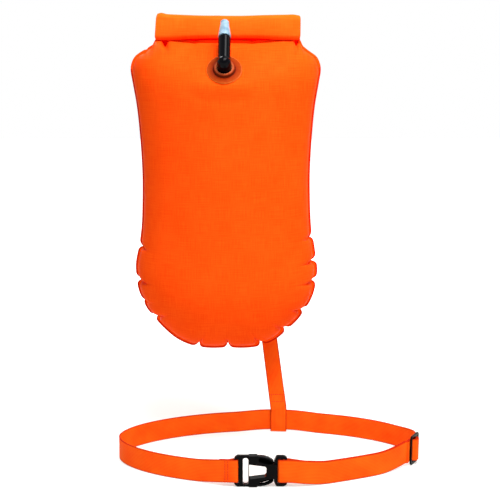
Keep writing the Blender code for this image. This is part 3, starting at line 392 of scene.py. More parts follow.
def flattened(point, seat, out, half_across, half_up, ramp):
    """Presses the sheet onto a fitting's plane within a rounded patch, and eases it back over the ramp."""
    local = point - seat
    a, b, height = local.dot(right), local.dot(out.cross(right)), local.dot(out)
    if abs(height) > flat_depth:
        return point
    corner = min(half_across, half_up)
    da = max(abs(a) - (half_across - corner), 0)
    db = max(abs(b) - (half_up - corner), 0)
    away = math.hypot(da, db) - corner
    share = smooth_step(1 - away / ramp) * smooth_step((flat_depth - abs(height)) / flat_ease)
    return point - out * (height * share)


def paint(red, green, blue):
    """A colour given as display values from 0 to 255."""
    shares = [value / 255 for value in (red, green, blue)]
    return tuple(((c + 0.055) / 1.055) ** 2.4 if c > 0.04 else c / 12.92 for c in shares) + (1,)


def texture(tree, kind, vector, **values):
    node = tree.nodes.new("ShaderNodeTex" + kind)
    tree.links.new(vector, node.inputs["Vector"])
    for key, value in values.items():
        node.inputs[key.replace("_", " ")].default_value = value
    return node


def cloudy(tree, vector, scale, detail):
    return texture(tree, "Noise", vector, Scale=scale, Detail=detail).outputs["Fac"]


def threads(tree, vector, direction, pitch, distortion=0.0, detail_scale=1.0):
    """Even bands this far apart, as threads or ribs lie side by side."""
    wave = texture(tree, "Wave", vector, Scale=0.314 / pitch, Distortion=distortion, Detail_Scale=detail_scale)
    wave.bands_direction = direction
    return wave.outputs["Fac"]


def mixed_colours(tree, share, first, second, way="MIX"):
    return reckoned(tree, "Mix", share, first, second, data_type="RGBA", blend_type=way)


def embossed(tree, shader, relief, strength, depth):
    """Relief too fine for the mesh."""
    bump = tree.nodes.new("ShaderNodeBump")
    bump.inputs["Strength"].default_value = strength
    bump.inputs["Distance"].default_value = depth
    tree.links.new(relief, bump.inputs["Height"])
    tree.links.new(bump.outputs["Normal"], shader.inputs["Normal"])


def coated_nylon(name, colour, deep_colour):
    """Plain-woven nylon: fine crossing threads, a heavier ripstop thread every few millimetres, clouding."""
    thread_pitch = 0.7 * mm
    made, tree, shader = new_material(name, colour, 0.42, 0.004)
    uv = coordinates(tree, "UV")
    crossing = [threads(tree, uv, direction, thread_pitch, 0.6, 2.0) for direction in ("X", "Y")]
    relief = reckoned(tree, "Math", *crossing, operation="ADD")
    for direction in ("X", "Y"):
        ripstop = mapped(tree, threads(tree, uv, direction, 9 * thread_pitch), 0, 1, 0.93, 0.995)
        relief = reckoned(tree, "Math", ripstop, 0.9, relief, operation="MULTIPLY_ADD")
    clouds = cloudy(tree, coordinates(tree), 28, 3)
    tone = mapped(tree, clouds, 0.25, 0.75)
    for stretch in ((1400, 60, 1), (50, 1200, 1)):
        slubs = cloudy(tree, reckoned(tree, "VectorMath", uv, stretch, operation="MULTIPLY"), 1, 2)
        tone = reckoned(tree, "Math", tone, slubs, operation="ADD")
    shade = mixed_colours(tree, mapped(tree, tone, 0, 1, 1.1, 1.75), deep_colour, colour)
    tree.links.new(shade, shader.inputs["Base Color"])
    tree.links.new(mapped(tree, clouds, 0.36, 0.5), shader.inputs["Roughness"])
    embossed(tree, shader, relief, 0.3, 0.12 * mm)
    return made


orange_nylon = coated_nylon("orange_nylon", paint(254, 84, 16), paint(246, 64, 5))
# The weld's cut edge is a darker red: partly the weld's own colour, partly painted shade along the edge.
welded_edge_and_shade = coated_nylon("welded_edge_and_shade", paint(212, 36, 6), paint(190, 18, 4))


def rounded_corners(rows):
    """Eases the rows across and upright below the neck, where its corners would run on inwards as a crease."""
    window = np.hanning(53)[1:-1]
    reach = len(window) // 2
    for k, row in enumerate(rows[1:-1], 1):
        share = k / (len(rows) - 1)
        spots = np.array([(p.x, p.z) for p in row])
        wrapped = np.vstack([spots[-reach:], spots, spots[:reach]])
        evened = np.column_stack([np.convolve(wrapped[:, i], window / window.sum(), "valid") for i in (0, 1)])
        for point, (x, z) in zip(row, evened):
            weight = smooth_step(share / 0.3) * smooth_step((1 - share) / 0.3)
            weight *= smooth_step((point.z - 320 * mm) / (60 * mm))
            point.x += weight * (float(x) - point.x)
            point.z += weight * (float(z) - point.z)


def evened_depth(rows, side):
    """Evens the sheet's depth away from the weld, as air pressure does."""
    depth = np.array([[side * (p.y - seam_depth) for p in row] for row in rows])
    crown = {}
    for i, point in enumerate(rows[-1]):
        crown.setdefault(round(point.z, 6), []).append(i)
    share = 0.5 * np.clip((np.arange(len(rows)) - 2) / 7, 0, 1)[:, None]
    depth = depth**2
    for reach in (24, 12, 6, 3, 1):
        for _ in range(90):
            above = np.vstack([depth[1:], depth[-2:-1]])
            below = np.vstack([depth[:1], depth[:-1]])
            mean = (above + below + np.roll(depth, reach, axis=1) + np.roll(depth, -reach, axis=1)) / 4
            depth = depth + share * (mean - depth)
            for group in crown.values():
                depth[-1, group] = depth[-1, group].mean()
    for row, depths in zip(rows, np.sqrt(depth)):
        for point, out in zip(row, depths):
            point.y = seam_depth + side * float(out)


def weld_point(entry, share, side):
    """A point of the flat weld, its cut edge at share 0, ruffled at the notches."""
    point, gap, along, shift = entry
    point = point + (medial_foot(point) - point).normalized() * trim_width * share
    depth = seam_depth + side * 0.35 * mm - 1.2 * mm * hill(gap, ruffle)
    return Vector((bag_middle + point.x, depth, point.z))


def skinned(mesh, rows):
    """Faces between closed rings of points."""
    made = []
    for first, second in zip(rows, rows[1:]):
        for i in range(len(first)):
            made.append(mesh.faces.new((first[i - 1], first[i], second[i], second[i - 1])))
    return made


def lay_weave(mesh, place=lambda point: (point.co.x, point.co.z)):
    """Leads the threads over the mesh: across and upright, or by another place given for each point."""
    mesh.verts.index_update()
    uv = mesh.loops.layers.uv.new("weave")
    for face in mesh.faces:
        for loop in face.loops:
            loop[uv].uv = place(loop.vert)


def laid_sheet(rows):
    """An open sheet through rows of points, as a mesh."""
    mesh = bmesh.new()
    rows = [[mesh.verts.new(place) for place in row] for row in rows]
    for first, second in zip(rows, rows[1:]):
        for corners in zip(first, first[1:], second[1:], second):
            mesh.faces.new(corners)
    return mesh


def thicken(piece, thickness, offset):
    wall = piece.modifiers.new("sheet", "SOLIDIFY")
    wall.thickness = thickness
    wall.offset = offset


def dressed_panel(name, node, side):
    """One sheet, from its cut edge over the weld to the crown of the dome. side is -1 for the front."""
    rings = 50
    edge = bag_edge()
    rows = [[weld_point(entry, share, side) for entry in edge] for share in (0, 1)]
    for step in range(rings + 1):
        angle = math.radians(90) * (step / rings) ** 1.25
        rows.append([panel_point(entry, angle, side) for entry in edge])
    for entry, place in zip(edge, rows[2]):
        place.y = seam_depth + side * weld_half_thickness - 1.0 * mm * hill(entry[1], ruffle)
    rounded_corners(rows)
    evened_depth(rows, side)
    mesh = bmesh.new()
    for row in rows:
        for i, place in enumerate(row):
            row[i] = mesh.verts.new(flattened(folded(place, side), *(valve_place if side < 0 else patch_place)))
    # Below the shoulders the weld's outer band takes that darker red, partly painted shade.
    for entry, face in zip(edge, skinned(mesh, rows)):
        if entry[0].z < trim_top:
            face.material_index = 1
    bmesh.ops.remove_doubles(mesh, verts=mesh.verts, dist=0.02 * mm)
    bmesh.ops.recalc_face_normals(mesh, faces=mesh.faces)
    if sum(f.normal.y * f.calc_area() for f in mesh.faces) * side < 0:
        bmesh.ops.reverse_faces(mesh, faces=mesh.faces)
    if side < 0:
        holed = [f for f in mesh.faces if (f.calc_center_median() - valve_seat).length < valve_hole]
        bmesh.ops.delete(mesh, geom=holed, context="FACES")
    lay_weave(mesh)
    panel = mesh_object(name, mesh, [orange_nylon, welded_edge_and_shade])
    thicken(panel, panel_thickness, -1)
    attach(panel, "bag_and_belt")
    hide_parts(node)


dressed_panel("bag_front_sheet", "front_panel", -1)
dressed_panel("bag_back_sheet", "back_panel", 1)

# Rolled mouth: the flat top of both sheets, coiled three turns towards the front round a stiff strip.
# It is squeezed flat, sags a little in the middle of its top and is loose and ragged at its ends.
roll_low, roll_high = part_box("rolled_mouth")
roll_middle = (roll_low + roll_high) / 2
roll_half_width = 79 * mm
roll_half_height = 14.5 * mm
roll_ply = 0.7 * mm
roll_pitch = 1.35 * mm
roll_first = 1.6 * mm
roll_half_turns = 6
roll_shift = 3 * mm
roll_rise = 0.5 * mm
# The ends stand up, their plies lie unevenly and slant on the left. The underside sags, less in its middle.
end_lift, end_ragged, end_slant, core_inset = 2.2 * mm, 1.6 * mm, 1.3 * mm, 0.8 * mm
top_drop, top_waves = 0.3 * mm, 0.7 * mm
under_sag, under_waves, under_rise = 1.1 * mm, 1.1 * mm, 2.4 * mm
front_bulge, side_waves = 0.34, 0.55 * mm
roll_stations = 80
coil_low, coil_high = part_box("mouth_stiffener")
coil_depth = (coil_low.y + coil_high.y) / 2


def roll_profile():
    """(depth, height, share of the way out) along the coil, from its core to the tail that joins the bag."""
    last = roll_first + roll_half_turns * roll_pitch / 2
    straight = roll_half_height - last - roll_ply / 2
    line = []
    side, radius = 1, roll_first
    for turn in range(roll_half_turns):
        line += [(side * radius, side * straight * (t / 4 * 2 - 1), turn) for t in range(4)]
        for i in range(13):
            grown = radius + roll_pitch / 2 * i / 12
            angle = math.pi * i / 12
            height = side * (straight + grown * math.sin(angle))
            line.append((side * grown * math.cos(angle), height, turn + i / 12))
        radius += roll_pitch / 2
        side = -side
    line += [(side * radius, side * straight * (t / 4 * 2 - 1), roll_half_turns) for t in range(5)]
    return line


def roll_point(share, depth, height, turn):
    """A point of the loose coil. share runs from -1 to 1 along its width."""
    outer = turn / roll_half_turns
    above = max(height, 0) / roll_half_height
    below = min(height, 0) / roll_half_height
    ragged = end_ragged * noise.noise(Vector((turn * 1.7, share * 2, 4.0))) * abs(share) ** 6
    slant = end_slant * height / roll_half_height * max(-share, 0) ** 4
    x = share * (roll_half_width + ragged - core_inset * (1 - outer)) + slant
    lift = end_lift * abs(share) ** 1.6 - top_drop
    lift += top_waves * noise.noise(Vector((share * 3.1, turn * 0.2, 1.0)))
    lift += 1.5 * mm * hill(share + 0.94, 0.05) - 1.8 * mm * hill(share - 1.0, 0.06)
    sag = under_waves * noise.noise(Vector((share * 2.3, 5.0, turn * 0.1))) * outer - under_sag
    z = height + above * lift + below * (sag - under_rise * max(1 - (share / 0.75) ** 2, 0))
    bulge = side_waves * noise.noise(Vector((share * 4, height * 70, 8.0))) * outer
    round_out = front_bulge * (1 - (height / roll_half_height) ** 2) * outer * (1 if depth < 0 else 0.2)
    y = depth * (1 + 0.05 * abs(share) ** 5 + round_out) + math.copysign(bulge, depth)
    return Vector((bag_middle + roll_shift + x, coil_depth + y, roll_middle.z + roll_rise + z))


def roll_weave(point):
    station, k = divmod(point.index, len(profile))
    return station * 2 * roll_half_width / roll_stations, lengths[k]


profile = roll_profile()
lengths = lengths_along([Vector(spot[:2]) for spot in profile])
shares = [2 * station / roll_stations - 1 for station in range(roll_stations + 1)]
roll_mesh = laid_sheet([[roll_point(share, *spot) for spot in profile] for share in shares])
lay_weave(roll_mesh, roll_weave)
# The roll's nylon is a lighter copy of the bag's: painted light on the roll.
painted_lit_roll_nylon = coated_nylon("painted_lit_roll_nylon", paint(255, 104, 24), paint(249, 84, 10))
rolled = mesh_object("rolled_mouth_sheet", roll_mesh, [painted_lit_roll_nylon])
thicken(rolled, roll_ply, 0)
soft = rolled.modifiers.new("softening", "SUBSURF")
soft.levels = soft.render_levels = 1
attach(rolled, "bag_and_belt")
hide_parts("rolled_mouth")

# Neck: the two sheets pressed together where they run up behind the roll's lower edge, rippling more towards the
# roll.
# Their cloth is painted a deep red for the roll's shade on them, and glows faintly red as painted light shining
# through.
neck_low = 446 * mm
neck_spacing = 3.1 * mm
neck_rows, neck_columns = 6, 41
neck_middle = bag_middle + 2 * mm
neck_depth = seam_depth - 0.4 * mm
neck_ripple = 0.5 * mm
painted_shade_glow_nylon = coated_nylon("painted_shade_glow_nylon", paint(226, 12, 4), paint(210, 4, 2))
# Painted light: a faint red emission stands in for light shining through the cloth in the roll's shade.
glow = painted_shade_glow_nylon.node_tree.nodes["Principled BSDF"].inputs
glow["Emission Color"].default_value = paint(230, 6, 0)
glow["Emission Strength"].default_value = 0.35


def neck_point(k, s):
    x = neck_middle + (2 * s / (neck_columns - 1) - 1) * roll_half_width
    ripple = neck_ripple * noise.noise(Vector((s * 0.9, k * 0.6, 2.0))) * k / (neck_rows - 1)
    return Vector((x, neck_depth + ripple, neck_low + k * neck_spacing))


neck_mesh = laid_sheet([[neck_point(k, s) for s in range(neck_columns)] for k in range(neck_rows)])
lay_weave(neck_mesh)
neck = mesh_object("neck_sheets", neck_mesh, [painted_shade_glow_nylon])
thicken(neck, 2 * panel_thickness, 0)
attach(neck, "bag_and_belt")


# Stiffener: a strip of pale, slightly flexible plastic welded inside the mouth's lip, which the mouth is
# rolled round.
def dress(node, used):
    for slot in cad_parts[node].material_slots:
        slot.material = used


def moulded(name, colour, roughness, grain, specular=0.3):
    """Moulded plastic: a faint spark-eroded grain, and gloss that changes a little from place to place."""
    made, tree, shader = new_material(name, colour, roughness, specular)
    place = coordinates(tree)
    smudge = cloudy(tree, place, 110, 3)
    gloss = mapped(tree, smudge, roughness * 0.75, roughness * 1.3, 0.3, 0.7)
    tree.links.new(gloss, shader.inputs["Roughness"])
    embossed(tree, shader, cloudy(tree, place, grain, 4), 0.25, 0.04 * mm)
    return made


dress("mouth_stiffener", moulded("stiff_strip", paint(190, 190, 186), 0.45, 900))

# Valve: a soft clear flange welded over a hole in the front sheet, and a glossy black elbow that turns in its
# neck. A milky mouthpiece screws down on a plug in the elbow's end and shuts it.
flange_radius = 18.75 * mm
flange_bands = (  # share of the flange's radius, and its colour there
    (0.0, (200, 110, 74)), (0.45, (196, 104, 68)), (0.56, (150, 54, 20)), (0.615, (66, 12, 3)),
    (0.67, (140, 38, 0)), (0.80, (152, 50, 0)), (0.93, (158, 56, 2)), (1.0, (196, 92, 34)),
)


def clear_flange():
    """Soft clear plastic over orange cloth, coloured in rings out from the middle: darkest in a thin ring round
    the neck, paler at the neck and the rim.
    """
    made, tree, shader = new_material("clear_orange_flange", paint(142, 46, 3), 0.4, 0.03)
    place = coordinates(tree)
    local = reckoned(tree, "VectorMath", place, valve_seat, operation="SUBTRACT")
    across = reckoned(tree, "VectorMath", local, valve_out, operation="CROSS_PRODUCT")
    reach = reckoned(tree, "VectorMath", across, operation="LENGTH")
    ramp = tree.nodes.new("ShaderNodeValToRGB")
    ends = ramp.color_ramp.elements
    for end, (position, colour) in ((0, flange_bands[0]), (1, flange_bands[-1])):
        ends[end].position, ends[end].color = position, paint(*colour)
    for position, colour in flange_bands[1:-1]:
        ends.new(position).color = paint(*colour)
    tree.links.new(mapped(tree, reach, 0, 1, 0, flange_radius), ramp.inputs["Fac"])
    share = mapped(tree, cloudy(tree, place, 240, 3), 0, 0.7, 0.4, 0.65)
    shade = mixed_colours(tree, share, ramp.outputs["Color"], paint(238, 210, 150), "MULTIPLY")
    tree.links.new(shade, shader.inputs["Base Color"])
    return made


def milky():
    """Soft silicone that light enters a little way."""
    made, tree, shader = new_material("milky_mouthpiece", paint(160, 200, 224), 0.3, 0.4)
    shader.inputs["Subsurface Weight"].default_value = 0.5
    shader.inputs["Subsurface Radius"].default_value = (1.5 * mm, 1.8 * mm, 2 * mm)
    share = mapped(tree, cloudy(tree, coordinates(tree), 160, 2), 0, 1, 0.35, 0.65)
    shade = mixed_colours(tree, share, paint(104, 138, 160), paint(140, 166, 184))
    tree.links.new(shade, shader.inputs["Base Color"])
    return made


gloss_black = moulded("gloss_black", paint(2, 2, 5), 0.11, 500, 0.06)
dress("valve_flange", clear_flange())
dress("valve_elbow", gloss_black)
dress("valve_plug", gloss_black)
dress("mouthpiece", milky())
dress("mouthpiece_washer", moulded("seal_rubber", paint(24, 24, 26), 0.7, 1200, 0.2))

# Waist belt: one strap of 25 mm nylon webbing, sewn round the buckle's socket end and led round the waist,
# through the slide and the plug's bar, and back to the slide's middle bar.
ring_shift = Vector((0, seam_depth - 65 * mm, 0))
belt_width = 25 * mm
web_thickness = 1.3 * mm
web_layer = 1.65 * mm
# The darker groove colour is painted shade in the grooves between the ribs.
web_orange, groove_shade, web_selvedge = paint(255, 102, 18), paint(246, 56, 4), paint(186, 34, 6)
ring_half_length = 164.9 * mm
ring_half_depth = 81.5 * mm
ring_fullness = 1.83
ring_front = 84.8105 * mm
front_draw, draw_run_left, draw_run_right = 6 * mm, 45 * mm, 85 * mm
buckle_left, buckle_right = -36.85 * mm, 18.85 * mm
buckle_middle = (buckle_left + buckle_right) / 2
buckle_half_length = (buckle_right - buckle_left) / 2
bar_wrap = 2.5 * mm
bar_gap = 0.4 * mm
socket_bar = 2.1 * mm
plug_bar = 49.3 * mm
slide_plane = 2 * mm
slide_half_bar = 1.3 * mm
slide_pitch = 9.5 * mm
slide_run = 16 * mm
slide_over = 5.65 * mm
slide_edge = slide_pitch - slide_half_bar
leash_start = 14.5 * mm
lift_run = 45 * mm
belt_spacing = 8 * mm
upright = Vector((0, 0, 1))
# A quarter of the webbing's cross-section, in shares of its half width and half thickness, then all of it
web_quarter = [(1, 0), (0.985, 0.7), (0.95, 1.02), (0.86, 0.96), (0.45, 0.94), (0, 0.96)]
web_face = web_quarter + [(-a, b) for a, b in web_quarter[-2::-1]]
web_section = web_face + [(-a, -b) for a, b in web_face[1:-1]]


def woven(name, width):
    """Flat nylon webbing: raised ribs along it, crossed by fine picks, with a firm darker selvedge."""
    made, tree, shader = new_material(name, web_orange, 0.6, 0.03)
    uv = coordinates(tree, "UV")
    rib = threads(tree, uv, "X", 1.55 * mm, 0.35)
    pick = threads(tree, uv, "Y", 0.85 * mm, 0.5)
    split = tree.nodes.new("ShaderNodeSeparateXYZ")
    tree.links.new(uv, split.inputs[0])
    away = reckoned(tree, "Math", split.outputs["X"], operation="ABSOLUTE")
    rim = mapped(tree, away, 0, 1, width / 2 - 1.5 * mm, width / 2 - 0.3 * mm)
    faded = mapped(tree, cloudy(tree, coordinates(tree), 45, 4), 0.15, 0.6, 0.3, 0.7)
    lit = reckoned(tree, "Math", rib, 0.6, faded, operation="MULTIPLY_ADD", use_clamp=True)
    # The ribs are mixed towards the darker groove colour: painted shade between the ribs.
    shade = mixed_colours(tree, rim, mixed_colours(tree, lit, groove_shade, web_orange), web_selvedge)
    tree.links.new(shade, shader.inputs["Base Color"])
    relief = reckoned(tree, "Math", pick, 0.45, rib, operation="MULTIPLY_ADD")
    embossed(tree, shader, relief, 0.5, 0.16 * mm)
    return made


def course(line, i):
    """The direction of the line at one of its points."""
    return (line[min(i + 1, len(line) - 1)] - line[max(i - 1, 0)]).normalized()


def strap(name, path, sides, width, used, start=0.0):
    """A woven strap along its middle line. sides is the direction of its width, or one for each point."""
    line = smooth_line(path, 3)
    turns = smooth_line(sides, 3) if isinstance(sides, list) else [sides] * len(line)
    mesh = bmesh.new()
    rows, lengths = [], lengths_along(line, start)
    for i, centre in enumerate(line):
        along = course(line, i)
        across = (turns[i] - along * along.dot(turns[i])).normalized()
        out = along.cross(across)
        rows.append([mesh.verts.new(centre + across * (a * width / 2) + out * (b * web_thickness / 2))
                     for a, b in web_section])

    def ribs(point):
        k, i = divmod(point.index, len(web_section))
        return web_section[i][0] * width / 2, lengths[k]

    skinned(mesh, rows)
    lay_weave(mesh, ribs)
    mesh.faces.new(rows[0])
    mesh.faces.new(reversed(rows[-1]))
    bmesh.ops.recalc_face_normals(mesh, faces=mesh.faces)
    made = mesh_object(name, mesh, [used])
    made.data.set_sharp_from_angle(angle=math.radians(60))
    return made, lengths[-1]


def seam(middle, run, count, spacing, out, along=None):
    """A row of stitches about its middle: the middle, direction and outward side of each."""
    return [(middle + run * ((i - (count - 1) / 2) * spacing), along or run, out) for i in range(count)]


def stitches(name, spots):
    """Thread stitches, each drawn a little into the cloth at both ends."""
    length, thick = 2.4 * mm, 0.42 * mm
    mesh = bmesh.new()
    for middle, along, out in spots:
        along = along.normalized()
        across = along.cross(out).normalized()
        out = across.cross(along).normalized()
        rings = []
        for share, radius in ((-0.42, 0.75 * thick), (0, thick), (0.42, 0.75 * thick)):
            centre = middle + along * (share * length)
            rings.append([mesh.verts.new(centre + across * x + out * y * 0.8)
                          for x, y in arc((0, 0), radius, 0, 300, 5)])
        skinned(mesh, rings)
        for ring, end in ((rings[0], -0.5), (rings[-1], 0.5)):
            tip = mesh.verts.new(middle + along * (end * length) - out * thick * 0.4)
            for i in range(6):
                mesh.faces.new((ring[i - 1], ring[i], tip))
    bmesh.ops.recalc_face_normals(mesh, faces=mesh.faces)
    return mesh_object(name, mesh, [sewing_thread])


def arc(centre, radius, start, end, steps):
    angles = [math.radians(start + (end - start) * i / steps) for i in range(steps + 1)]
    return [(centre[0] + radius * math.cos(a), centre[1] + radius * math.sin(a)) for a in angles]


def ring_point(angle):
    """The middle of the webbing in plan: an oval drawn forwards and flat by the buckle."""
    power = 2 / ring_fullness
    x = ring_half_length * math.copysign(abs(math.cos(angle)) ** power, math.cos(angle))
    y = ring_half_depth * math.copysign(abs(math.sin(angle)) ** power, math.sin(angle))
    if y < 0:
        away = x - buckle_middle
        run = draw_run_right if away > 0 else draw_run_left
        y -= front_draw * smooth_step(1 - (abs(away) - buckle_half_length) / run)
    return Vector((x, max(y, -ring_front), 0))


def directions(angle, step):
    """Along the belt and outwards from it, at this place of the ring."""
    along = (ring_point(angle - step) - ring_point(angle + step)).normalized()
    return along, Vector((-along.y, along.x, 0))


slide_angle = math.radians(-14.5)
slide_place = ring_point(slide_angle)
slide_along, slide_out = directions(slide_angle, 0.01)
back_angle = min((math.radians(a / 4) for a in range(240, 480)), key=lambda a: abs(ring_point(a).x - leash_start))
ring_back = ring_point(back_angle)
back_along, back_out = directions(back_angle, 0.05)
belt_supports = (  # middle, half length, lift
    (Vector((buckle_middle, -ring_front, 0)), buckle_half_length, 4.3 * mm),
    (slide_place, slide_pitch, 4 * mm),
    (ring_back, 9.85 * mm, 2.1 * mm),
)


def belt_lift(point):
    """How far the lower edge is off the ground, raised by the buckle, the slide and the leash's loop."""
    flat = Vector((point.x, point.y, 0))
    return max(lift * smooth_step(1 - ((flat - middle).length - half) / lift_run)
               for middle, half, lift in belt_supports)


def raised(line):
    return [Vector((p.x, p.y, belt_lift(p) + belt_width / 2)) + ring_shift for p in line]


def on_slide(points):
    return [slide_place + slide_along * x + slide_out * out for x, out in points]


def in_plan(points):
    return [Vector((x, y, 0)) for x, y in points]


belt_web = woven("orange_belt_webbing", belt_width)
sewing_thread = moulded("orange_thread", paint(222, 56, 12), 0.7, 900, 0.15)
start_angle = math.atan2(-1, (buckle_left - web_thickness) / ring_half_length) + 2 * math.pi
ring = [ring_point(start_angle - (start_angle + math.pi / 2) * i / 720) for i in range(721)]
ring = [p for p in ring if not (p.y < 0 and buckle_left <= p.x <= buckle_right)]
before = after = nearest = min(range(len(ring)), key=lambda i: (ring[i] - slide_place).length)
while (ring[before] - ring[nearest]).length < slide_run:
    before -= 1
while (ring[after] - ring[nearest]).length < slide_run:
    after += 1

# From the sewn end, round the socket's bar and the waist, and over the slide's middle bar
line = []
for reach in (13.6, 10, 6):
    k = min(range(len(ring) // 4), key=lambda i: abs(buckle_left - reach * mm - ring[i].x))
    along = (ring[k + 1] - ring[k]).normalized()
    line.append(ring[k] + Vector((along.y, -along.x, 0)) * web_layer)
line += in_plan([(buckle_left, 2 * bar_wrap - ring_front)])
line += in_plan(arc((buckle_left + socket_bar + bar_gap, bar_wrap - ring_front), bar_wrap, 90, -90, 8))
line += resampled(ring[:before], belt_spacing)
line += on_slide((
    (-slide_run + web_thickness, 0), (-slide_edge + bar_gap, 0), (-slide_edge + 2.4 * bar_gap, 0.1 * slide_over),
    (-2 * slide_half_bar, 0.95 * slide_over), (-1.4 * slide_half_bar, slide_over),
    (1.9 * slide_half_bar, slide_over), (2.6 * slide_half_bar, 0.92 * slide_over),
    (slide_edge - 3.7 * bar_gap, 0.09 * slide_over), (slide_edge - bar_gap, 0), (slide_run - web_thickness, 0),
))
main_strap, strap_length = strap("belt_strap", raised(line), upright, belt_width, belt_web)
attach(main_strap, "bag_and_belt")
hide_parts("belt_webbing")

# On from the slide, round the plug's bar, back along the inside, and round the slide's middle bar
outer = resampled(ring[after:], belt_spacing)
inner = []
for i, point in enumerate(outer):
    along = course(outer, i)
    inner.append(point - Vector((-along.y, along.x, 0)) * web_layer)
line = on_slide(((slide_run - web_thickness, 0),)) + outer
line += in_plan(arc((buckle_left + plug_bar - bar_gap, bar_wrap - ring_front), bar_wrap, 270, 90, 8))
line += in_plan([(buckle_right + 0.4 * bar_wrap, 2 * bar_wrap - ring_front)])
line += [p for p in reversed(inner) if p.x > buckle_right + 4 * bar_wrap]
line += on_slide((
    (slide_run - web_thickness, -web_layer), (slide_edge, -web_layer),
    (slide_pitch - 2.5 * slide_half_bar, -0.9 * web_layer), (2.3 * slide_half_bar, -0.1 * web_layer),
))
line += on_slide([(-x, z) for x, z in arc((slide_half_bar - bar_gap, slide_plane), slide_plane, -90, 90, 6)])
line += on_slide(((0.8 * slide_half_bar, 2 * slide_plane),))
loop_strap, _ = strap("belt_adjusting_strap", raised(line), upright, belt_width, belt_web, strap_length)
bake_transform(loop_strap)

spots = []
for column, lean in ((-5.6, 0.25), (-8.6, -0.25)):
    middle = raised([Vector((buckle_left + column * mm, -ring_front - web_thickness / 2 - 0.01 * mm, 0))])[0]
    spots += seam(middle, upright, 9, 2.7 * mm, Vector((0, -1, 0)), Vector((lean, 0, 1)))
belt_seam = stitches("belt_stitching", spots)
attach(belt_seam, "bag_and_belt")

# Belt buckle and slide: black moulded acetal, smooth and a little shiny on its rounded edges. The plug's two
# arms spring in for it to come out of the socket, and the slide holds the webbing by friction alone.
black_acetal = moulded("black_acetal", paint(3, 3, 4), 0.15, 700, 0.055)
for node in ("belt_buckle_female_half", "belt_buckle_male_half", "belt_buckle_arm_upper", "belt_buckle_arm_lower",
             "belt_adjuster"):
    dress(node, black_acetal)

# Closing buckle behind the roll: a smaller buckle of the same make, on two tabs of webbing sewn to the ends of
# the mouth. Each tab is folded round its bar and sewn down in two rows.
closing_left = -65.58 * mm
closing_right = closing_left + 38.16 * mm
closing_depth = 69.32 * mm
closing_wrap = 2.2 * mm
closing_height = 472.1 * mm
tab_width = 20 * mm
tab_near = 66.45 * mm
tab_web = woven("orange_tab_webbing", tab_width)
for node in ("closure_female_half", "closure_male_half", "closure_arm_upper", "closure_arm_lower"):
    dress(node, black_acetal)


def tab_path(side, end_x, edge_x, wrap_x, arc_start):
    """From the roll's end round a bar of the buckle and back, in the ring's frame."""
    points = [(end_x, tab_near), (edge_x + side * 13 * mm, tab_near),
              (edge_x + side * closing_wrap, closing_depth - closing_wrap)]
    points += arc((wrap_x, closing_depth), closing_wrap, arc_start, 90, 6)
    points += [(edge_x + side * closing_wrap, closing_depth + closing_wrap),
               (edge_x + side * 6.5 * mm, tab_near + 2.15 * mm), (edge_x + side * 14.6 * mm, tab_near + 1.8 * mm)]
    return [Vector((x, y, closing_height)) + ring_shift for x, y in points]


def join_tab(piece, side):
    """The left tab stays with the bag. The right one, which leads to the plug, has its placement baked into its
    mesh.
    """
    if side < 0:
        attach(piece, "bag_and_belt")
    else:
        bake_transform(piece)


tabs = (  # side, its name, the roll's end, the buckle's edge, the bar, where the fold round the bar starts
    (-1, "left", bag_middle - 75.5 * mm, closing_left, closing_left + 1.68 * mm, -90),
    (1, "right", bag_middle + 80 * mm, closing_right, closing_left + 33.04 * mm, 270),
)
for side, word, *ends in tabs:
    tab, _ = strap("closing_tab_" + word, tab_path(side, *ends), upright, tab_width, tab_web)
    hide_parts("closure_tab_" + word)
    join_tab(tab, side)
for side, word, _, edge_x, _, _ in tabs:
    spots = []
    for column in (9.5, 13):
        middle = Vector((edge_x + side * column * mm, tab_near + 2.65 * mm, closing_height)) + ring_shift
        spots += seam(middle, upright, 7, 2.6 * mm, Vector((0, 1, 0)))
    join_tab(stitches("closing_stitches_" + word, spots), side)

# Anchor behind the bag: a patch of the bag's cloth welded to the back sheet, a keeper of webbing sewn to it,
# and a welded steel D-ring that the tow leash is looped through.
patch_half_across, patch_half_up, patch_corner = 21.5, 14.5, 5
patch_layers = (  # inset from the patch's edge, rise off the sheet, in mm
    (0, 0.1), (0, 0.55), (0.5, 0.75), (2.2, 0.75), (2.6, 0.55), (3.1, 0.75), (4.2, 0.8),
)
keeper_low = 2.25 * mm
keeper_top = keeper_low + 2.34 * mm
ring_wrap = 2.5 * mm


def on_patch(points):
    return [patch_seat + right * x + patch_down * y + patch_out * z for x, y, z in points]


patch_mesh = bmesh.new()
patch_rings = []
for inset, height in patch_layers:
    corner = max(patch_corner - inset, 0.6) * mm
    half_x, half_y = (patch_half_across - inset) * mm, (patch_half_up - inset) * mm
    outline = []
    for cx, cy, start in ((1, 1, 0), (-1, 1, 90), (-1, -1, 180), (1, -1, 270)):
        outline += arc((cx * (half_x - corner), cy * (half_y - corner)), corner, start, start + 90, 5)
    patch_rings.append([patch_mesh.verts.new(p) for p in on_patch([(x, y, height * mm) for x, y in outline])])
skinned(patch_mesh, patch_rings)
patch_mesh.faces.new(patch_rings[0])
patch_mesh.faces.new(patch_rings[-1])
bmesh.ops.recalc_face_normals(patch_mesh, faces=patch_mesh.faces)
lay_weave(patch_mesh)
patch = mesh_object("anchor_cloth_patch", patch_mesh, [orange_nylon])
patch.data.set_sharp_from_angle(angle=math.radians(40))
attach(patch, "bag_and_belt")
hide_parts("anchor_patch")

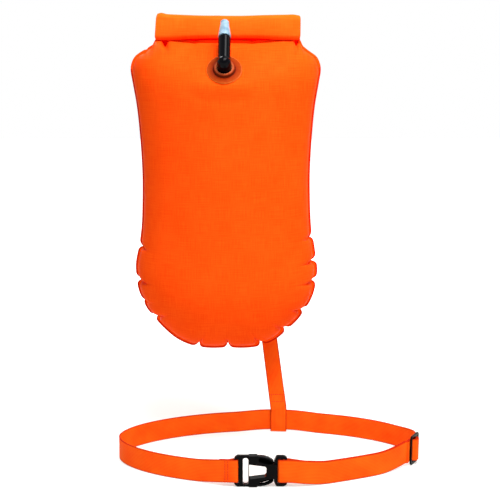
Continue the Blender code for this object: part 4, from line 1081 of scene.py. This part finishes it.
path = [(-13 * mm, keeper_low), (0, keeper_low)]
path += arc((anchor_bar_drop, anchor_bar_height), ring_wrap, -90, 90, 6)
path += [(7 * mm, keeper_low + 2.64 * mm), (3.5 * mm, keeper_low + web_layer), (-13 * mm, keeper_low + web_layer)]
keeper, _ = strap("anchor_keeper_strap", on_patch([(0, y, z) for y, z in path]), right, tab_width, tab_web)
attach(keeper, "bag_and_belt")
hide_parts("anchor_keeper")
spots = []
for middle in on_patch([(0, -10.5 * mm, keeper_top), (0, -1.5 * mm, keeper_top)]):
    spots += seam(middle, right, 7, 2.6 * mm, patch_out)
for middle in on_patch([(-7.8 * mm, -6 * mm, keeper_top), (7.8 * mm, -6 * mm, keeper_top)]):
    spots += seam(middle, patch_down, 3, 2.7 * mm, patch_out)
keeper_seam = stitches("anchor_stitching", spots)
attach(keeper_seam, "bag_and_belt")


def steel():
    made, tree, shader = new_material("polished_steel", (0.62, 0.62, 0.63, 1), 0.22, 0.5)
    shader.inputs["Metallic"].default_value = 1.0
    scuffs = cloudy(tree, coordinates(tree), 700, 5)
    tree.links.new(mapped(tree, scuffs, 0.14, 0.36, 0.3, 0.7), shader.inputs["Roughness"])
    return made


dress("anchor_ring", steel())

# Tow leash: a narrower strap of the same webbing, sewn round the back of the belt, led up the back of the bag
# and sewn round the D-ring. It lies on the bag's back sheet from where it first touches it.
leash_width = 19 * mm
leash_layer = 2.1 * mm
leash_web = woven("orange_narrow_webbing", leash_width)
leash_end = 415 * mm - anchor_bar_drop
leash_touch = 160.585 * mm
leash_lead = 359 * mm
loop_low = 0.65 * mm
loop_high = belt_width + 2 * leash_layer
back_tree = BVHTree.FromObject(bpy.data.objects["bag_back_sheet"], bpy.context.evaluated_depsgraph_get())


def back_depth(x, z):
    """How far back the back sheet stands at this place, x and z in the scene's frame."""
    return back_tree.ray_cast(Vector((x, 0.4, z)), Vector((0, -1, 0)))[0].y


def leash_x(height):
    share = (height - belt_width) / (leash_end - belt_width)
    return leash_start + (bag_middle - leash_start) * share * (0.7 + 0.3 * share)


def leash_point(height):
    x, half = leash_x(height), 0.45 * leash_width
    depth = max(back_depth(x + step, height) for step in (-half, 0, half))
    return Vector((x, max(depth, back_depth(x, height) + 0.2 * mm) + 1.0 * mm, height))


def leash_side(height):
    x, half = leash_x(height), leash_width / 2
    return Vector((leash_width, back_depth(x + half, height) - back_depth(x - half, height), 0)).normalized()


def on_loop(points):
    return [back + back_out * out + upright * z for out, z in points]


back = ring_back + ring_shift
touch = leash_point(leash_touch)
base = on_loop([(-leash_layer, loop_high)])[0]
rise = (touch - base) / (touch.z - base.z)
behind = back_out * (1.1 * web_layer)
line = [base + rise * 17 * mm + behind, base + rise * 6.8 * mm + behind]
line += on_loop([(leash_layer, loop_high - leash_layer)])
line += on_loop(arc((0, loop_low + leash_layer), leash_layer, 0, -180, 6))
line += on_loop([(-leash_layer, loop_high - leash_layer)])
line += [base, base + rise * 17 * mm]
turns = [back_along] * len(line)
line.append(line[-1].lerp(touch, 0.5))
turns.append(back_along.lerp(leash_side(leash_touch), 0.5))
for i in range(13):
    height = leash_touch + (leash_lead - leash_touch) * (i / 12) ** 1.4
    line.append(leash_point(height))
    turns.append(leash_side(height))
top_loop = [(37 * mm, 5.95 * mm)] + arc((2 * anchor_bar_drop, anchor_bar_height), ring_wrap, 90, 270, 8)
top_loop += [(37 * mm, 3.55 * mm), (43 * mm, 2.25 * mm)]
line += on_patch([(0, y, z) for y, z in top_loop])
turns += [right] * len(top_loop)
leash, _ = strap("tow_leash_strap", line, turns, leash_width, leash_web)
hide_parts("tow_leash")
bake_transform(leash)
spots = []
outer_face = base - back_out * 0.68 * mm
for row in (7.5, 15.5):
    spots += seam(outer_face + rise * row * mm, back_along, 6, 2.6 * mm, -back_out)
for column in (-6.5, 6.5):
    spots += seam(outer_face + rise * 11.6 * mm + back_along * column * mm, rise, 3, 2.4 * mm, -back_out)
leash_seam = stitches("leash_stitching", spots)
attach(leash_seam, "bag_and_belt")
